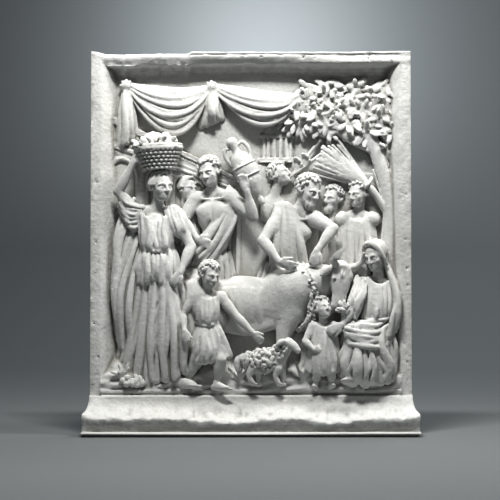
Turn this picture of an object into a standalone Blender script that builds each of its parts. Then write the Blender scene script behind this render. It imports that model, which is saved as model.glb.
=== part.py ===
"""A cast relief plaque that stands on its own moulded plinth.

One solid: a slab with a raised frame, a flared plinth, and a country procession carved in
high relief in the sunk field. Designed in millimetres, with x to the right, up, and out
towards the viewer from the ground of the relief; the mesh is in metres with +Z up.
"""
import math

import bmesh
import bpy
import numpy as np

MM = 0.001

# The panel and its frame, in millimetres
PANEL_WIDTH = 322.0
PANEL_HEIGHT = 385.0
SLAB = 14.0
RAIL_OUT = 16.0
RAIL_SIDE = 16.0
RAIL_TOP = 13.5
SIDE_COVE = 9.0
TOP_COVE = 15.0
COVE_SUNK = 0.5
COVE_STEPS = 5

# The plinth, from its foot upwards: heights of its members, then how far they stand out
FOOT = 2.0
LIP = 2.4
PLINTH_FACE = 13.2
SWEEP = 19.2
FILLET = 2.6
FASCIA = 5.6
FOOT_STEP = 3.0
LIP_STEP = 0.8
PLINTH_OUT = 38.0
FACE_LEAN = 3.2
SWEEP_OUT = 18.5
SWEEP_HOLLOW = 0.5
FILLET_STEP = 2.2
TUCK = 0.3
LAP = 4.0
FASCIA_OUT = 16.4
PLINTH_FLARE = 5.5

# The relief: its depth, and the field that it was drawn for
RELIEF_DEPTH = 0.68
DRAWN_WIDTH = 322.0
DRAWN_FOOT = 45.0
DRAWN_TOP = 385.0
CELL = 2.3
RELIEF_FACES = 8600


SWEEP_TOP = FOOT + LIP + PLINTH_FACE + SWEEP
FIELD_FOOT = SWEEP_TOP + FILLET + FASCIA


def plinth_levels(steps=6):
    """The base from its foot up to the relief: (up, half width, front) at each level."""
    half = PANEL_WIDTH / 2
    wide = half + PLINTH_FLARE
    face_top = FOOT + LIP + PLINTH_FACE
    flare_low = face_top + 0.3 * SWEEP
    flare_top = SWEEP_TOP + FILLET

    def width(up):
        t = min(max((flare_top - up) / (flare_top - flare_low), 0.0), 1.0)
        return wide - PLINTH_FLARE * math.sqrt(1 - t * t)

    lip, front = wide + LIP_STEP, PLINTH_OUT + LIP_STEP
    levels = [(0.0, lip - FOOT_STEP, front - FOOT_STEP), (FOOT - TUCK, lip - FOOT_STEP, front - FOOT_STEP),
              (FOOT, lip, front), (FOOT + LIP, lip, front), (FOOT + LIP + 0.4, wide, PLINTH_OUT - FACE_LEAN),
              (face_top, wide, PLINTH_OUT)]
    for i in range(1, steps + 1):
        t = i / steps
        a = (1 - t) * math.pi / 2
        rise = mix(t, 1 - math.sin(a), SWEEP_HOLLOW)
        back = mix(t, math.cos(a), SWEEP_HOLLOW)
        up = face_top + SWEEP * rise
        levels.append((up, width(up), PLINTH_OUT - (PLINTH_OUT - SWEEP_OUT) * back))
    levels.append((flare_top, half, FASCIA_OUT + 0.5))
    levels.append((FIELD_FOOT, half, FASCIA_OUT))
    return levels


FAR = 50.0


def soft_min(a, b, blend):
    """The lower of two distances, rounded where they meet."""
    if blend <= 0:
        return np.minimum(a, b)
    near = np.maximum(blend - np.abs(a - b), 0) / blend
    return np.minimum(a, b) - near * near * blend * 0.25


def unit(v):
    v = np.asarray(v, float)
    return v / max(np.linalg.norm(v), 1e-9)


def curve(points, shares):
    """A smooth curve through the points, read at each share of its way."""
    p = np.asarray(points, float)
    shares = np.asarray(shares, float)
    if len(p) == 2:
        return p[0] * (1 - shares[:, None]) + p[1] * shares[:, None]
    p = np.vstack([2 * p[0] - p[1], p, 2 * p[-1] - p[-2]])
    s = shares * (len(p) - 3)
    i = np.minimum(s.astype(int), len(p) - 4)
    t = (s - i)[:, None]
    a, b, c, d = p[i], p[i + 1], p[i + 2], p[i + 3]
    return 0.5 * (2 * b + (c - a) * t + (2 * a - 5 * b + 4 * c - d) * t**2 + (3 * b - a - 3 * c + d) * t**3)


def along(points, count):
    return curve(points, np.linspace(0, 1, count))


class Place:
    """Where a form sits: its origin, its size and its three axes (right, up, out)."""

    def __init__(self, origin, turn=0.0, nod=0.0, tilt=0.0, size=1.0):
        self.origin, self.size = np.asarray(origin, float), size
        a, b, c = math.radians(turn), math.radians(nod), math.radians(tilt)
        yaw = np.array([[math.cos(a), 0, math.sin(a)], [0, 1, 0], [-math.sin(a), 0, math.cos(a)]])
        pitch = np.array([[1, 0, 0], [0, math.cos(b), -math.sin(b)], [0, math.sin(b), math.cos(b)]])
        roll = np.array([[math.cos(c), -math.sin(c), 0], [math.sin(c), math.cos(c), 0], [0, 0, 1]])
        self.axes = (roll @ yaw @ pitch).T

    def at(self, x, up, out):
        return self.origin + self.size * (np.array([x, up, out], float) @ self.axes)


LEVEL = np.eye(3)


class Clay:
    """A block of modelling clay: signed distances to its surface, on a grid, in millimetres."""

    def __init__(self, low, high, cell):
        self.low, self.cell = np.array(low, float), cell
        self.shape = np.ceil((np.array(high, float) - self.low) / cell).astype(int) + 1
        self.d = np.full(self.shape, FAR, np.float32)

    def window(self, low, high):
        first = np.clip(np.floor((np.asarray(low) - self.low) / self.cell).astype(int), 0, self.shape)
        last = np.clip(np.ceil((np.asarray(high) - self.low) / self.cell).astype(int) + 1, 0, self.shape)
        part = tuple(slice(a, b) for a, b in zip(first, last))
        axes = [(self.low[i] + self.cell * np.arange(first[i], last[i])).astype(np.float32) for i in range(3)]
        return part, np.meshgrid(*axes, indexing="ij", sparse=True)

    def press(self, low, high, measure, blend, carve):
        margin = blend + 2 * self.cell
        part, (x, up, out) = self.window(np.asarray(low) - margin, np.asarray(high) + margin)
        old = self.d[part]
        if old.size == 0:
            return
        new = measure(x, up, out)
        self.d[part] = -soft_min(-old, new, blend) if carve else soft_min(old, new, blend)

    def cone(self, a, b, ra, rb=None, blend=1.0, carve=False):
        """A rod with round ends, from radius ra to rb."""
        self.rods(np.array([a, b], float), [ra, ra if rb is None else rb], blend, carve)

    def roll(self, path, radii, blend=1.0, carve=False, count=None):
        """A roll of clay laid along a smooth path, its radius read off the list."""
        count = count or 6 * (len(path) - 1)
        points = along(path, count)
        radii = list(radii) * 2 if len(radii) == 1 else radii
        r = np.maximum(along(np.reshape(radii, (-1, 1)), count)[:, 0], 0.3)
        self.rods(points, r, blend, carve)

    def rods(self, points, r, blend, carve):
        """Round rods from point to point, made into one form before it is pressed on."""
        r = np.asarray(r, float)
        margin = max(blend, 0) + 2 * self.cell
        low = (points - r[:, None]).min(0) - margin
        high = (points + r[:, None]).max(0) + margin
        part, _ = self.window(low, high)
        old = self.d[part]
        if old.size == 0:
            return
        form = Clay.__new__(Clay)
        form.cell, form.shape = self.cell, np.array(old.shape)
        form.low = self.low + self.cell * np.array([p.start for p in part])
        form.d = np.full(old.shape, FAR, np.float32)
        for a, b, ra, rb in zip(points[:-1], points[1:], r[:-1], r[1:]):
            here, (x, up, out) = form.window(np.minimum(a - ra, b - rb) - margin,
                np.maximum(a + ra, b + rb) + margin)
            ab = b - a
            px, pu, po = x - a[0], up - a[1], out - a[2]
            t = np.clip((px * ab[0] + pu * ab[1] + po * ab[2]) / max(float(ab @ ab), 1e-6), 0, 1)
            away = np.sqrt((px - t * ab[0]) ** 2 + (pu - t * ab[1]) ** 2 + (po - t * ab[2]) ** 2)
            away = away - (ra + t * (rb - ra))
            form.d[here] = np.minimum(form.d[here], away)
        self.d[part] = -soft_min(-old, form.d, blend) if carve else soft_min(old, form.d, blend)

    def egg(self, centre, radii, axes=LEVEL, blend=1.0, carve=False):
        c, r = np.asarray(centre, float), np.asarray(radii, float)
        reach = np.sqrt(((np.asarray(axes) * r[:, None]) ** 2).sum(0))

        def measure(x, up, out):
            p = [(x - c[0]) * a[0] + (up - c[1]) * a[1] + (out - c[2]) * a[2] for a in axes]
            k0 = np.sqrt(sum((q / s) ** 2 for q, s in zip(p, r)))
            k1 = np.sqrt(sum((q / s**2) ** 2 for q, s in zip(p, r)))
            return k0 * (k0 - 1) / np.maximum(k1, 1e-6)

        self.press(c - reach, c + reach, measure, blend, carve)

    def box(self, centre, half, axes=LEVEL, rounding=0.5, blend=0.5, carve=False):
        c, h = np.asarray(centre, float), np.asarray(half, float)
        reach = (np.abs(np.asarray(axes)) * h[:, None]).sum(0)

        def measure(x, up, out):
            q = [np.abs((x - c[0]) * a[0] + (up - c[1]) * a[1] + (out - c[2]) * a[2]) - s + rounding
                 for a, s in zip(axes, h)]
            outside = np.sqrt(sum(np.maximum(v, 0) ** 2 for v in q))
            return outside + np.minimum(np.maximum(np.maximum(q[0], q[1]), q[2]), 0) - rounding

        self.press(c - reach, c + reach, measure, blend, carve)

    def merge(self, other, blend=0.5):
        """Joins another block, made on the same grid, to this one."""
        first = np.round((other.low - self.low) / self.cell).astype(int)
        a = np.maximum(first, 0)
        b = np.minimum(first + other.shape, self.shape)
        here = tuple(slice(i, j) for i, j in zip(a, b))
        there = tuple(slice(i - f, j - f) for i, j, f in zip(a, b, first))
        self.d[here] = soft_min(self.d[here], other.d[there], blend)

    def part(self, low, high):
        """An empty block on this one's grid, over a smaller region."""
        first = np.floor((np.asarray(low, float) - self.low) / self.cell)
        corner = self.low + first * self.cell
        return Clay(corner, high, self.cell)


def surface_nets(block):
    """The surface of a block as points and four-cornered faces: one point in each cell that it crosses."""
    d = block.d
    inside = d < 0
    n = np.array(d.shape) - 1
    corners = [(i, j, k) for i in (0, 1) for j in (0, 1) for k in (0, 1)]

    def shifted(a, c):
        return a[c[0]:c[0] + n[0], c[1]:c[1] + n[1], c[2]:c[2] + n[2]]

    total = np.zeros(n, np.uint8)
    for c in corners:
        total += shifted(inside, c)
    cells = np.argwhere((total > 0) & (total < 8))
    index = np.full(n, -1, np.int32)
    index[tuple(cells.T)] = np.arange(len(cells))
    value = {c: d[tuple((cells + c).T)] for c in corners}
    place = np.zeros((len(cells), 3))
    hits = np.zeros(len(cells))
    for a in corners:
        for axis in range(3):
            if a[axis]:
                continue
            b = tuple(1 if i == axis else a[i] for i in range(3))
            va, vb = value[a], value[b]
            cross = (va < 0) != (vb < 0)
            t = np.where(cross, va / np.where(cross, va - vb, 1), 0)
            point = np.tile(np.array(a, float), (len(cells), 1))
            point[:, axis] = t
            place += point * cross[:, None]
            hits += cross
    points = block.low + block.cell * (cells + place / hits[:, None])
    faces = []
    for axis in range(3):
        u, w = (axis + 1) % 3, (axis + 2) % 3
        a = [slice(None)] * 3
        b = [slice(None)] * 3
        a[axis], b[axis] = slice(0, -1), slice(1, None)
        change = inside[tuple(a)].astype(np.int8) - inside[tuple(b)]
        inner = [slice(None)] * 3
        inner[u] = inner[w] = slice(1, -1)
        change = change[tuple(inner)]
        for sign in (1, -1):
            at = np.argwhere(change == sign)
            at[:, u] += 1
            at[:, w] += 1
            loop = []
            for du, dw in ((-1, -1), (0, -1), (0, 0), (-1, 0)):
                q = at.copy()
                q[:, u] += du
                q[:, w] += dw
                loop.append(index[tuple(q.T)])
            quad = np.stack(loop, 1)
            faces.append(quad if sign > 0 else quad[:, ::-1])
    return points, np.concatenate(faces)


def v(*p):
    return np.array(p, float)


def mix(a, b, t):
    return np.asarray(a, float) * (1 - t) + np.asarray(b, float) * t


def limb(clay, a, b, radii, blend):
    """A length of arm or leg: evenly spaced radii from joint to joint."""
    clay.roll([a, mix(a, b, 0.5), b], radii, blend, count=20)


def arm(clay, shoulder, elbow, wrist, s):
    clay.egg(shoulder, (7.4 * s,) * 3, blend=3 * s)
    limb(clay, shoulder, elbow, [7.2 * s, 7.0 * s, 6.9 * s, 6.2 * s, 5.2 * s, 4.9 * s], 2.0 * s)
    limb(clay, elbow, wrist, [4.8 * s, 5.4 * s, 5.3 * s, 4.6 * s, 3.7 * s, 3.1 * s, 3.2 * s], 1.2 * s)


def hand(clay, wrist, way, side, s, curl=0.35):
    """Way runs along the hand and side across its knuckles; the fingers curl away from its back."""
    way, side = unit(way), unit(side)
    back = unit(np.cross(way, side))
    wrist = np.asarray(wrist, float)
    palm = wrist + way * 5.2 * s
    clay.egg(palm, (6.0 * s, 4.4 * s, 2.5 * s), np.array([way, side, back]), 1.6 * s)
    for i in range(4):
        root = wrist + way * 8.6 * s + side * (i - 1.5) * 2.1 * s
        reach = (8.0, 8.8, 8.2, 6.4)[i] * s
        knuckle = root + way * reach * 0.5 - back * curl * 2.0 * s
        tip = knuckle + way * reach * 0.5 * (1 - curl) - back * curl * 5.0 * s
        clay.cone(root, knuckle, 1.45 * s, 1.3 * s, 0.5 * s)
        clay.cone(knuckle, tip, 1.3 * s, 1.0 * s, 0.5 * s)
    thumb = wrist + way * 3.5 * s + side * 4.0 * s
    clay.cone(thumb, thumb + way * 6.2 * s + side * 2.4 * s - back * 2 * s, 1.7 * s, 1.2 * s, 0.8 * s)


def leg(clay, hip, knee, ankle, s):
    hip, knee, ankle = (np.asarray(p, float) for p in (hip, knee, ankle))
    limb(clay, hip, knee, [11.6 * s, 12.0 * s, 11.4 * s, 10.2 * s, 8.8 * s, 7.6 * s, 7.2 * s], 3 * s)
    limb(clay, knee, ankle, [7.0 * s, 7.2 * s, 7.5 * s, 7.0 * s, 5.8 * s, 4.6 * s, 4.0 * s, 4.1 * s], 1.5 * s)
    clay.egg(knee + v(0, 0, 1.6) * s, (5.0 * s, 5.6 * s, 6.0 * s), blend=2.0 * s)


def foot(clay, ankle, way, s, rise=0.0):
    """A bare foot: way runs from heel to toes, level; rise lifts the heel."""
    way = unit(way)
    ankle = np.asarray(ankle, float)
    side = unit(np.cross(way, (0, 1, 0)))
    heel = ankle - way * 4.5 * s - v(0, 5.2, 0) * s
    ball = ankle + way * 15.0 * s - v(0, 7.0 + 10 * rise, 0) * s
    clay.cone(heel, ball, 3.9 * s, 3.0 * s, 1.5 * s)
    clay.cone(ankle - v(0, 1, 0) * s, ball + v(0, 0.6, 0) * s, 4.2 * s, 3.0 * s, 3 * s)
    for i in range(5):
        root = ball + side * (i - 2) * 1.75 * s
        tip = root + way * (6.2 - 0.7 * i) * s - v(0, 0.6, 0) * s
        clay.cone(root, tip, 1.75 * s, 1.35 * s, 0.5 * s)


def head(clay, at, hair="curls", beard=False, seed=0):
    s = at.size

    def egg(x, up, out, radii, blend=1.0, carve=False):
        clay.egg(at.at(x, up, out), np.array(radii, float) * s, at.axes, blend * s, carve)

    def bar(p, q, ra, rb=None, blend=0.6, carve=False):
        clay.cone(at.at(*p), at.at(*q), ra * s, (rb or ra) * s, blend * s, carve)

    egg(0, 3.2, -2.0, (9.0, 10.3, 11.2))
    egg(0, -4.0, 2.6, (7.4, 9.6, 8.0), 3)
    egg(0, -8.8, 3.4, (5.4, 4.6, 5.6), 2.5)
    egg(0, -11.2, 8.0, (2.4, 2.1, 2.1), 2)
    for k in (-1, 1):
        egg(4.9 * k, -3.6, 6.6, (2.6, 2.4, 2.4), 2)
        egg(3.5 * k, -0.9, 11.0, (2.7, 1.7, 2.3), 1.6, True)
        egg(3.5 * k, -1.1, 7.9, (2.2, 1.5, 1.9), 0.5)
        bar((1.9 * k, -0.2, 9.7), (5.3 * k, -0.6, 8.4), 0.42, None, 0.4)
        bar((1.5 * k, 1.5, 9.8), (3.8 * k, 2.0, 9.2), 0.7, 0.7, 1.4)
        bar((3.8 * k, 2.0, 9.2), (6.2 * k, 1.1, 7.4), 0.7, 0.5, 1.4)
        egg(1.4 * k, -4.7, 10.9, (1.1, 1.0, 1.3), 0.5)
        egg(8.6 * k, -1.4, -0.8, (1.4, 3.3, 2.2), 0.4)
        egg(9.9 * k, -0.8, -0.2, (1.0, 1.9, 1.1), 0.4, True)
    bar((0, 1.2, 9.6), (0, -4.2, 12.3), 1.0, 1.4, 1.0)
    bar((-2.0, -7.5, 9.7), (2.0, -7.5, 9.7), 0.7, None, 0.9)
    bar((-1.4, -9.0, 9.6), (1.4, -9.0, 9.6), 0.8, None, 0.9)
    bar((-2.3, -8.2, 10.7), (2.3, -8.2, 10.7), 0.3, None, 0.3, True)
    rng = np.random.default_rng(seed)
    if hair == "curls":
        curls(clay, at, rng)
    elif hair == "bun":
        strands(clay, at)
    elif hair == "veil":
        veil(clay, at)
    if beard:
        for _ in range(26):
            a = rng.uniform(-1, 1)
            root = (5.6 * a, -7.5 - 2.2 * (1 - a * a) + rng.uniform(-1, 1), 9.2 - 5.0 * a * a)
            tip = (root[0] * 0.55 + rng.uniform(-1, 1), root[1] - rng.uniform(5, 8),
                root[2] + rng.uniform(-0.5, 1.0))
            bend = (root[0] * 0.9 + rng.uniform(-1.2, 1.2), (root[1] + tip[1]) / 2, root[2] + 1.2)
            clay.roll([at.at(*root), at.at(*bend), at.at(*tip)], [1.2 * s, 1.1 * s, 0.5 * s], 0.35 * s)


def curls(clay, at, rng, count=150):
    """Short hair: hooked locks over the skull, clear of the face."""
    s = at.size
    for i in range(count):
        up = 1 - 2 * (i + 0.5) / count
        a = i * math.pi * (3 - math.sqrt(5))
        ring = math.sqrt(1 - up * up)
        d = v(ring * math.sin(a), up, ring * math.cos(a))
        if d[1] < -0.42 or (d[2] > 0.42 and d[1] < 0.62) or (d[2] > -0.1 and d[1] < 0.12):
            continue
        root = v(0, 3.2, -2.0) + d * v(9.2, 10.6, 11.4)
        swirl = unit(np.cross(d, rng.normal(size=3)))
        fall = v(0, -1, 0) - d * -d[1]
        tip = root + swirl * 2.4 + fall * 2.4
        bend = root + d * 1.2 + swirl * 0.4 + fall * 1.4
        clay.roll([at.at(*root), at.at(*bend), at.at(*tip)], [1.5 * s, 1.45 * s, 0.8 * s], 0.35 * s, count=4)


def strands(clay, at, rows=9):
    """Long hair waved back from a parting to a knot at the nape."""
    s = at.size
    knot = v(0, 0.5, -14.5)
    for k in (-1, 1):
        for i in range(rows):
            t = i / (rows - 1)
            front = v(k * (0.6 + 7.8 * t), 12.6 - 11.0 * t**1.6, 7.0 - 4.4 * t)
            side = v(k * (4.0 + 6.2 * math.sin(1.4 * t + 0.15)), 12.0 - 11.5 * t, -3.5)
            wave = [front, mix(front, side, 0.5) + v(k * 1.4, 0.5, 0.6), side,
                mix(side, knot, 0.55) + v(k * 2.6, 1.2, 0), knot]
            clay.roll([at.at(*p) for p in wave], [1.3 * s, 1.5 * s, 1.5 * s, 1.3 * s], 0.4 * s, count=12)
    clay.egg(at.at(*knot), (5.2 * s, 5.2 * s, 4.2 * s), at.axes, 0.8 * s)
    for i in range(6):
        a = i * math.pi / 3
        ring = v(math.cos(a) * 3.6, math.sin(a) * 3.6, -2.0)
        clay.egg(at.at(*(knot + ring)), (1.9 * s,) * 3, blend=0.5 * s)


def veil(clay, at):
    """A cloth drawn over the head, its edge framing the face."""
    s = at.size
    clay.egg(at.at(0, 3.4, -3.6), np.array((10.6, 11.8, 12.0)) * s, at.axes, 1.5 * s)
    edge = [(-9.4, -10, -1), (-10.0, 0, 2.2), (-6.6, 10.4, 5.4), (0, 14.2, 6.6), (6.6, 10.4, 5.4),
        (10.0, 0, 2.2), (9.4, -10, -1)]
    clay.roll([at.at(*p) for p in edge], [1.5 * s], 0.8 * s)
    inner = [(x * 0.86, u - 0.6, o + 1.2) for x, u, o in edge[1:-1]]
    clay.roll([at.at(*p) for p in inner], [1.0 * s], 0.5 * s)


def neck(clay, at, base, s):
    clay.cone(at.at(0, -6.5, -3.2), base, 5.4 * s, 6.4 * s, 2.5 * s)


def torso(clay, hips, shoulders, s, bare=True, female=False):
    """hips and shoulders are pairs of joints, the viewer's left one first."""
    lo, hi = mix(*hips, 0.5), mix(*shoulders, 0.5)
    up = unit(hi - lo)
    across = unit(unit(np.subtract(*shoulders[::-1])) + unit(np.subtract(*hips[::-1])))
    out = unit(np.cross(across, up))
    across = np.cross(up, out)
    axes = np.array([across, up, out])
    long = np.linalg.norm(hi - lo)
    wide = np.linalg.norm(np.subtract(*shoulders))

    def spot(x, t, o):
        return lo + up * long * t + across * x * s + out * o * s

    clay.egg(spot(0, 0.04, 0), (15.5 * s, 12.5 * s, 11.5 * s), axes, 3 * s)
    clay.egg(spot(0, 0.34, 0.3), (14.0 * s, 17.0 * s, 10.2 * s), axes, 4 * s)
    clay.egg(spot(0, 0.74, -0.4), (wide * 0.47, 19.0 * s, 12.4 * s), axes, 4 * s)
    for j, k in enumerate((-1, 1)):
        clay.cone(spot(2.5 * k, 1.10, -2.5), mix(spot(0, 1.02, -2), shoulders[j], 0.9), 5.4 * s, 5.6 * s,
            3 * s)
        clay.egg(shoulders[j], (7.8 * s,) * 3, blend=3 * s)
        if female:
            clay.egg(spot(7.2 * k, 0.70, 8.4), (6.6 * s, 6.6 * s, 5.8 * s), axes, 2.5 * s)
        elif bare:
            clay.egg(spot(7.8 * k, 0.80, 5.2), (9.8 * s, 7.6 * s, 5.8 * s), axes, 2.2 * s)
            for row in range(3):
                clay.egg(spot(3.4 * k, 0.53 - 0.13 * row, 7.2), (3.5 * s, 3.4 * s, 2.7 * s), axes, 1.9 * s)
            clay.cone(spot(3.0 * k, 0.64, 10.9), spot(12.0 * k, 0.42, 6.0), 0.7 * s, 0.7 * s, 1.8 * s, True)
            collar = [spot(2.2 * k, 0.985, 6.6),
                mix(spot(2.2 * k, 1.0, 6.0), shoulders[j] + out * 5.6 * s, 0.6),
                shoulders[j] + out * 6.2 * s]
            clay.roll(collar, [1.2 * s, 1.0 * s, 0.9 * s], 1.6 * s, count=8)
    if bare and not female:
        clay.cone(spot(0, 0.88, 11.9), spot(0, 0.1, 11.0), 0.7 * s, 0.6 * s, 1.8 * s, True)
        clay.egg(spot(0, 0.20, 11.0), (1.0 * s,) * 3, axes, 0.6 * s, True)
    return axes, spot


def folds(clay, top, bottom, count, thin, thick, bow=(0, 0, 0), wander=0.8, blend=1.0, seed=0, back=True,
        steps=12, end=0.75):
    """Cloth falling from one edge to another in uneven rolls that sway and fork, over a backing."""
    rng = np.random.default_rng(seed)
    width = np.exp(rng.normal(0, 0.42, count))
    width *= count / width.sum()
    place = (np.cumsum(width) - width / 2) / width.sum()
    a, b = curve(top, place), curve(bottom, place)
    bow = v(*bow)
    sway = 0.45 * thick * rng.uniform(0.6, 1.4)
    if back:
        for one, two in zip(along(top, count), along(bottom, count)):
            mid = mix(one, two, 0.5) + bow
            clay.roll([one - v(0, 0, thin), mid - v(0, 0, thick * 0.9), two - v(0, 0, thick * 0.9)],
                      [thin * 1.5, thick * 1.25, thick * 1.3], 1.5, count=6)
    lanes = []
    for i in range(count):
        r = thick * (0.35 + 0.65 * min(width[i], 1.6))
        lift = v(0, 0, (rng.uniform(-0.3, 0.6) + 0.5 * (min(width[i], 1.6) - 1)) * thick * 0.7)
        lean = v(sway * math.sin(0.7 * i + seed), 0, 0)
        one = mix(a[i], b[i], 0.33) + bow * 0.85 + rng.normal(0, wander, 3) * 0.6 + lean
        two = mix(a[i], b[i], 0.70) + bow * 0.80 + rng.normal(0, wander, 3) - lean
        low = b[i] + lift + v(0, rng.normal(0, wander), 0)
        lanes.append((one + lift * 0.5, two + lift, low, r))
        clay.roll([a[i], one + lift * 0.5, two + lift, low],
            [thin * (0.6 + 0.4 * width[i]), 0.4 * thin + 0.55 * r, r, r * end], blend, count=steps)
    for i in range(count - 1):
        if rng.uniform() < 0.4:
            near, far = (lanes[i], lanes[i + 1]) if rng.uniform() < 0.5 else (lanes[i + 1], lanes[i])
            raised = v(0, 0, 0.25 * thick)
            clay.roll([near[0], mix(near[1], far[1], 0.5) + raised, mix(far[1], far[2], 0.6) + raised],
                [0.35 * near[3], 0.6 * far[3], 0.5 * far[3]], blend, count=steps)


def amphora(clay, foot_at, mouth_at, s, handles=True):
    """A two-handled jar, turned about the line from its foot to its mouth."""
    foot_at, mouth_at = np.asarray(foot_at, float), np.asarray(mouth_at, float)
    shape = [(0.0, 2.4), (0.06, 2.8), (0.10, 2.2), (0.20, 5.6), (0.38, 9.6), (0.55, 11.2), (0.68, 9.8),
        (0.76, 6.4), (0.82, 4.0), (0.90, 3.5), (0.95, 4.2), (1.0, 5.2)]
    t = np.array([p[0] for p in shape])
    r = np.array([p[1] for p in shape]) * s
    fine = np.linspace(0, 1, 30)
    clay.rods(foot_at + (mouth_at - foot_at) * fine[:, None], np.interp(fine, t, r), 0.5, False)
    axis = unit(mouth_at - foot_at)
    side = unit(np.cross(axis, (0, 0, 1)))
    for ring, wide in ((0.62, 10.9), (0.45, 10.9)):
        where = mix(foot_at, mouth_at, ring)
        turns = [where + side * math.cos(a) * wide * s + np.cross(axis, side) * math.sin(a) * wide * s
            for a in np.linspace(0, 2 * math.pi, 17)]
        clay.roll(turns, [0.6 * s], 0.4, count=33)
    if handles:
        for k in (-1, 1):
            path = [mix(foot_at, mouth_at, 0.68) + side * k * 9 * s,
                mix(foot_at, mouth_at, 0.84) + side * k * 11 * s,
                mix(foot_at, mouth_at, 0.95) + side * k * 8.5 * s,
                mix(foot_at, mouth_at, 0.94) + side * k * 3.5 * s]
            clay.roll(path, [1.5 * s], 0.5)


def basket(clay, at, low, high, tall, seed=0, fruit=True):
    """A woven basket: stacked plaits over a solid core, and fruit heaped in it."""
    s = at.size
    rows = max(4, int(tall / 2.9))
    for i in range(7):
        t = i / 6
        clay.egg(at.at(0, tall * t * 0.86, 0),
            ((low + (high - low) * t) * 0.93 * s, 3.2 * s, (low + (high - low) * t) * 0.93 * s),
            at.axes, 1.0)
    for i in range(rows):
        r = (low + (high - low) * i / (rows - 1)) * s
        count = int(2 * math.pi * r / (4.6 * s))
        for j in range(count):
            a = 2 * math.pi * (j + 0.5 * (i % 2)) / count
            p, q = (at.at(r / s * math.sin(a + k), tall * i / (rows - 1) + rise, r / s * math.cos(a + k))
                for k, rise in ((-2.2 / count, -0.5), (2.2 / count, 0.5)))
            clay.cone(p, q, 1.7 * s, 1.2 * s, 0.3 * s)
    for rise, thick in ((1.4, 2.0), (4.0, 1.5)):
        rim = [at.at(high * math.sin(a), tall + rise, high * math.cos(a))
            for a in np.linspace(0, 2 * math.pi, 25)]
        clay.roll(rim, [thick * s], 0.4, count=37)
    if fruit:
        rng = np.random.default_rng(seed)
        for _ in range(60):
            a, q = rng.uniform(0, 2 * math.pi), math.sqrt(rng.uniform(0, 0.92))
            r = rng.uniform(3.0, 5.2) * s
            here = at.at(high * 0.86 * q * math.sin(a), tall + 3.0 + 12 * (1 - q * q),
                high * 0.86 * q * math.cos(a))
            clay.egg(here, (r, r * 0.95, r), blend=0.25)
        for _ in range(16):
            a = rng.uniform(0, 2 * math.pi)
            here = at.at(high * 0.8 * math.sin(a), tall + 6, high * 0.8 * abs(math.cos(a)))
            leaf(clay, here, (math.sin(a), rng.uniform(-0.5, 0.6), 0.3), 9 * s, 4.4 * s, 0.4)


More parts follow.
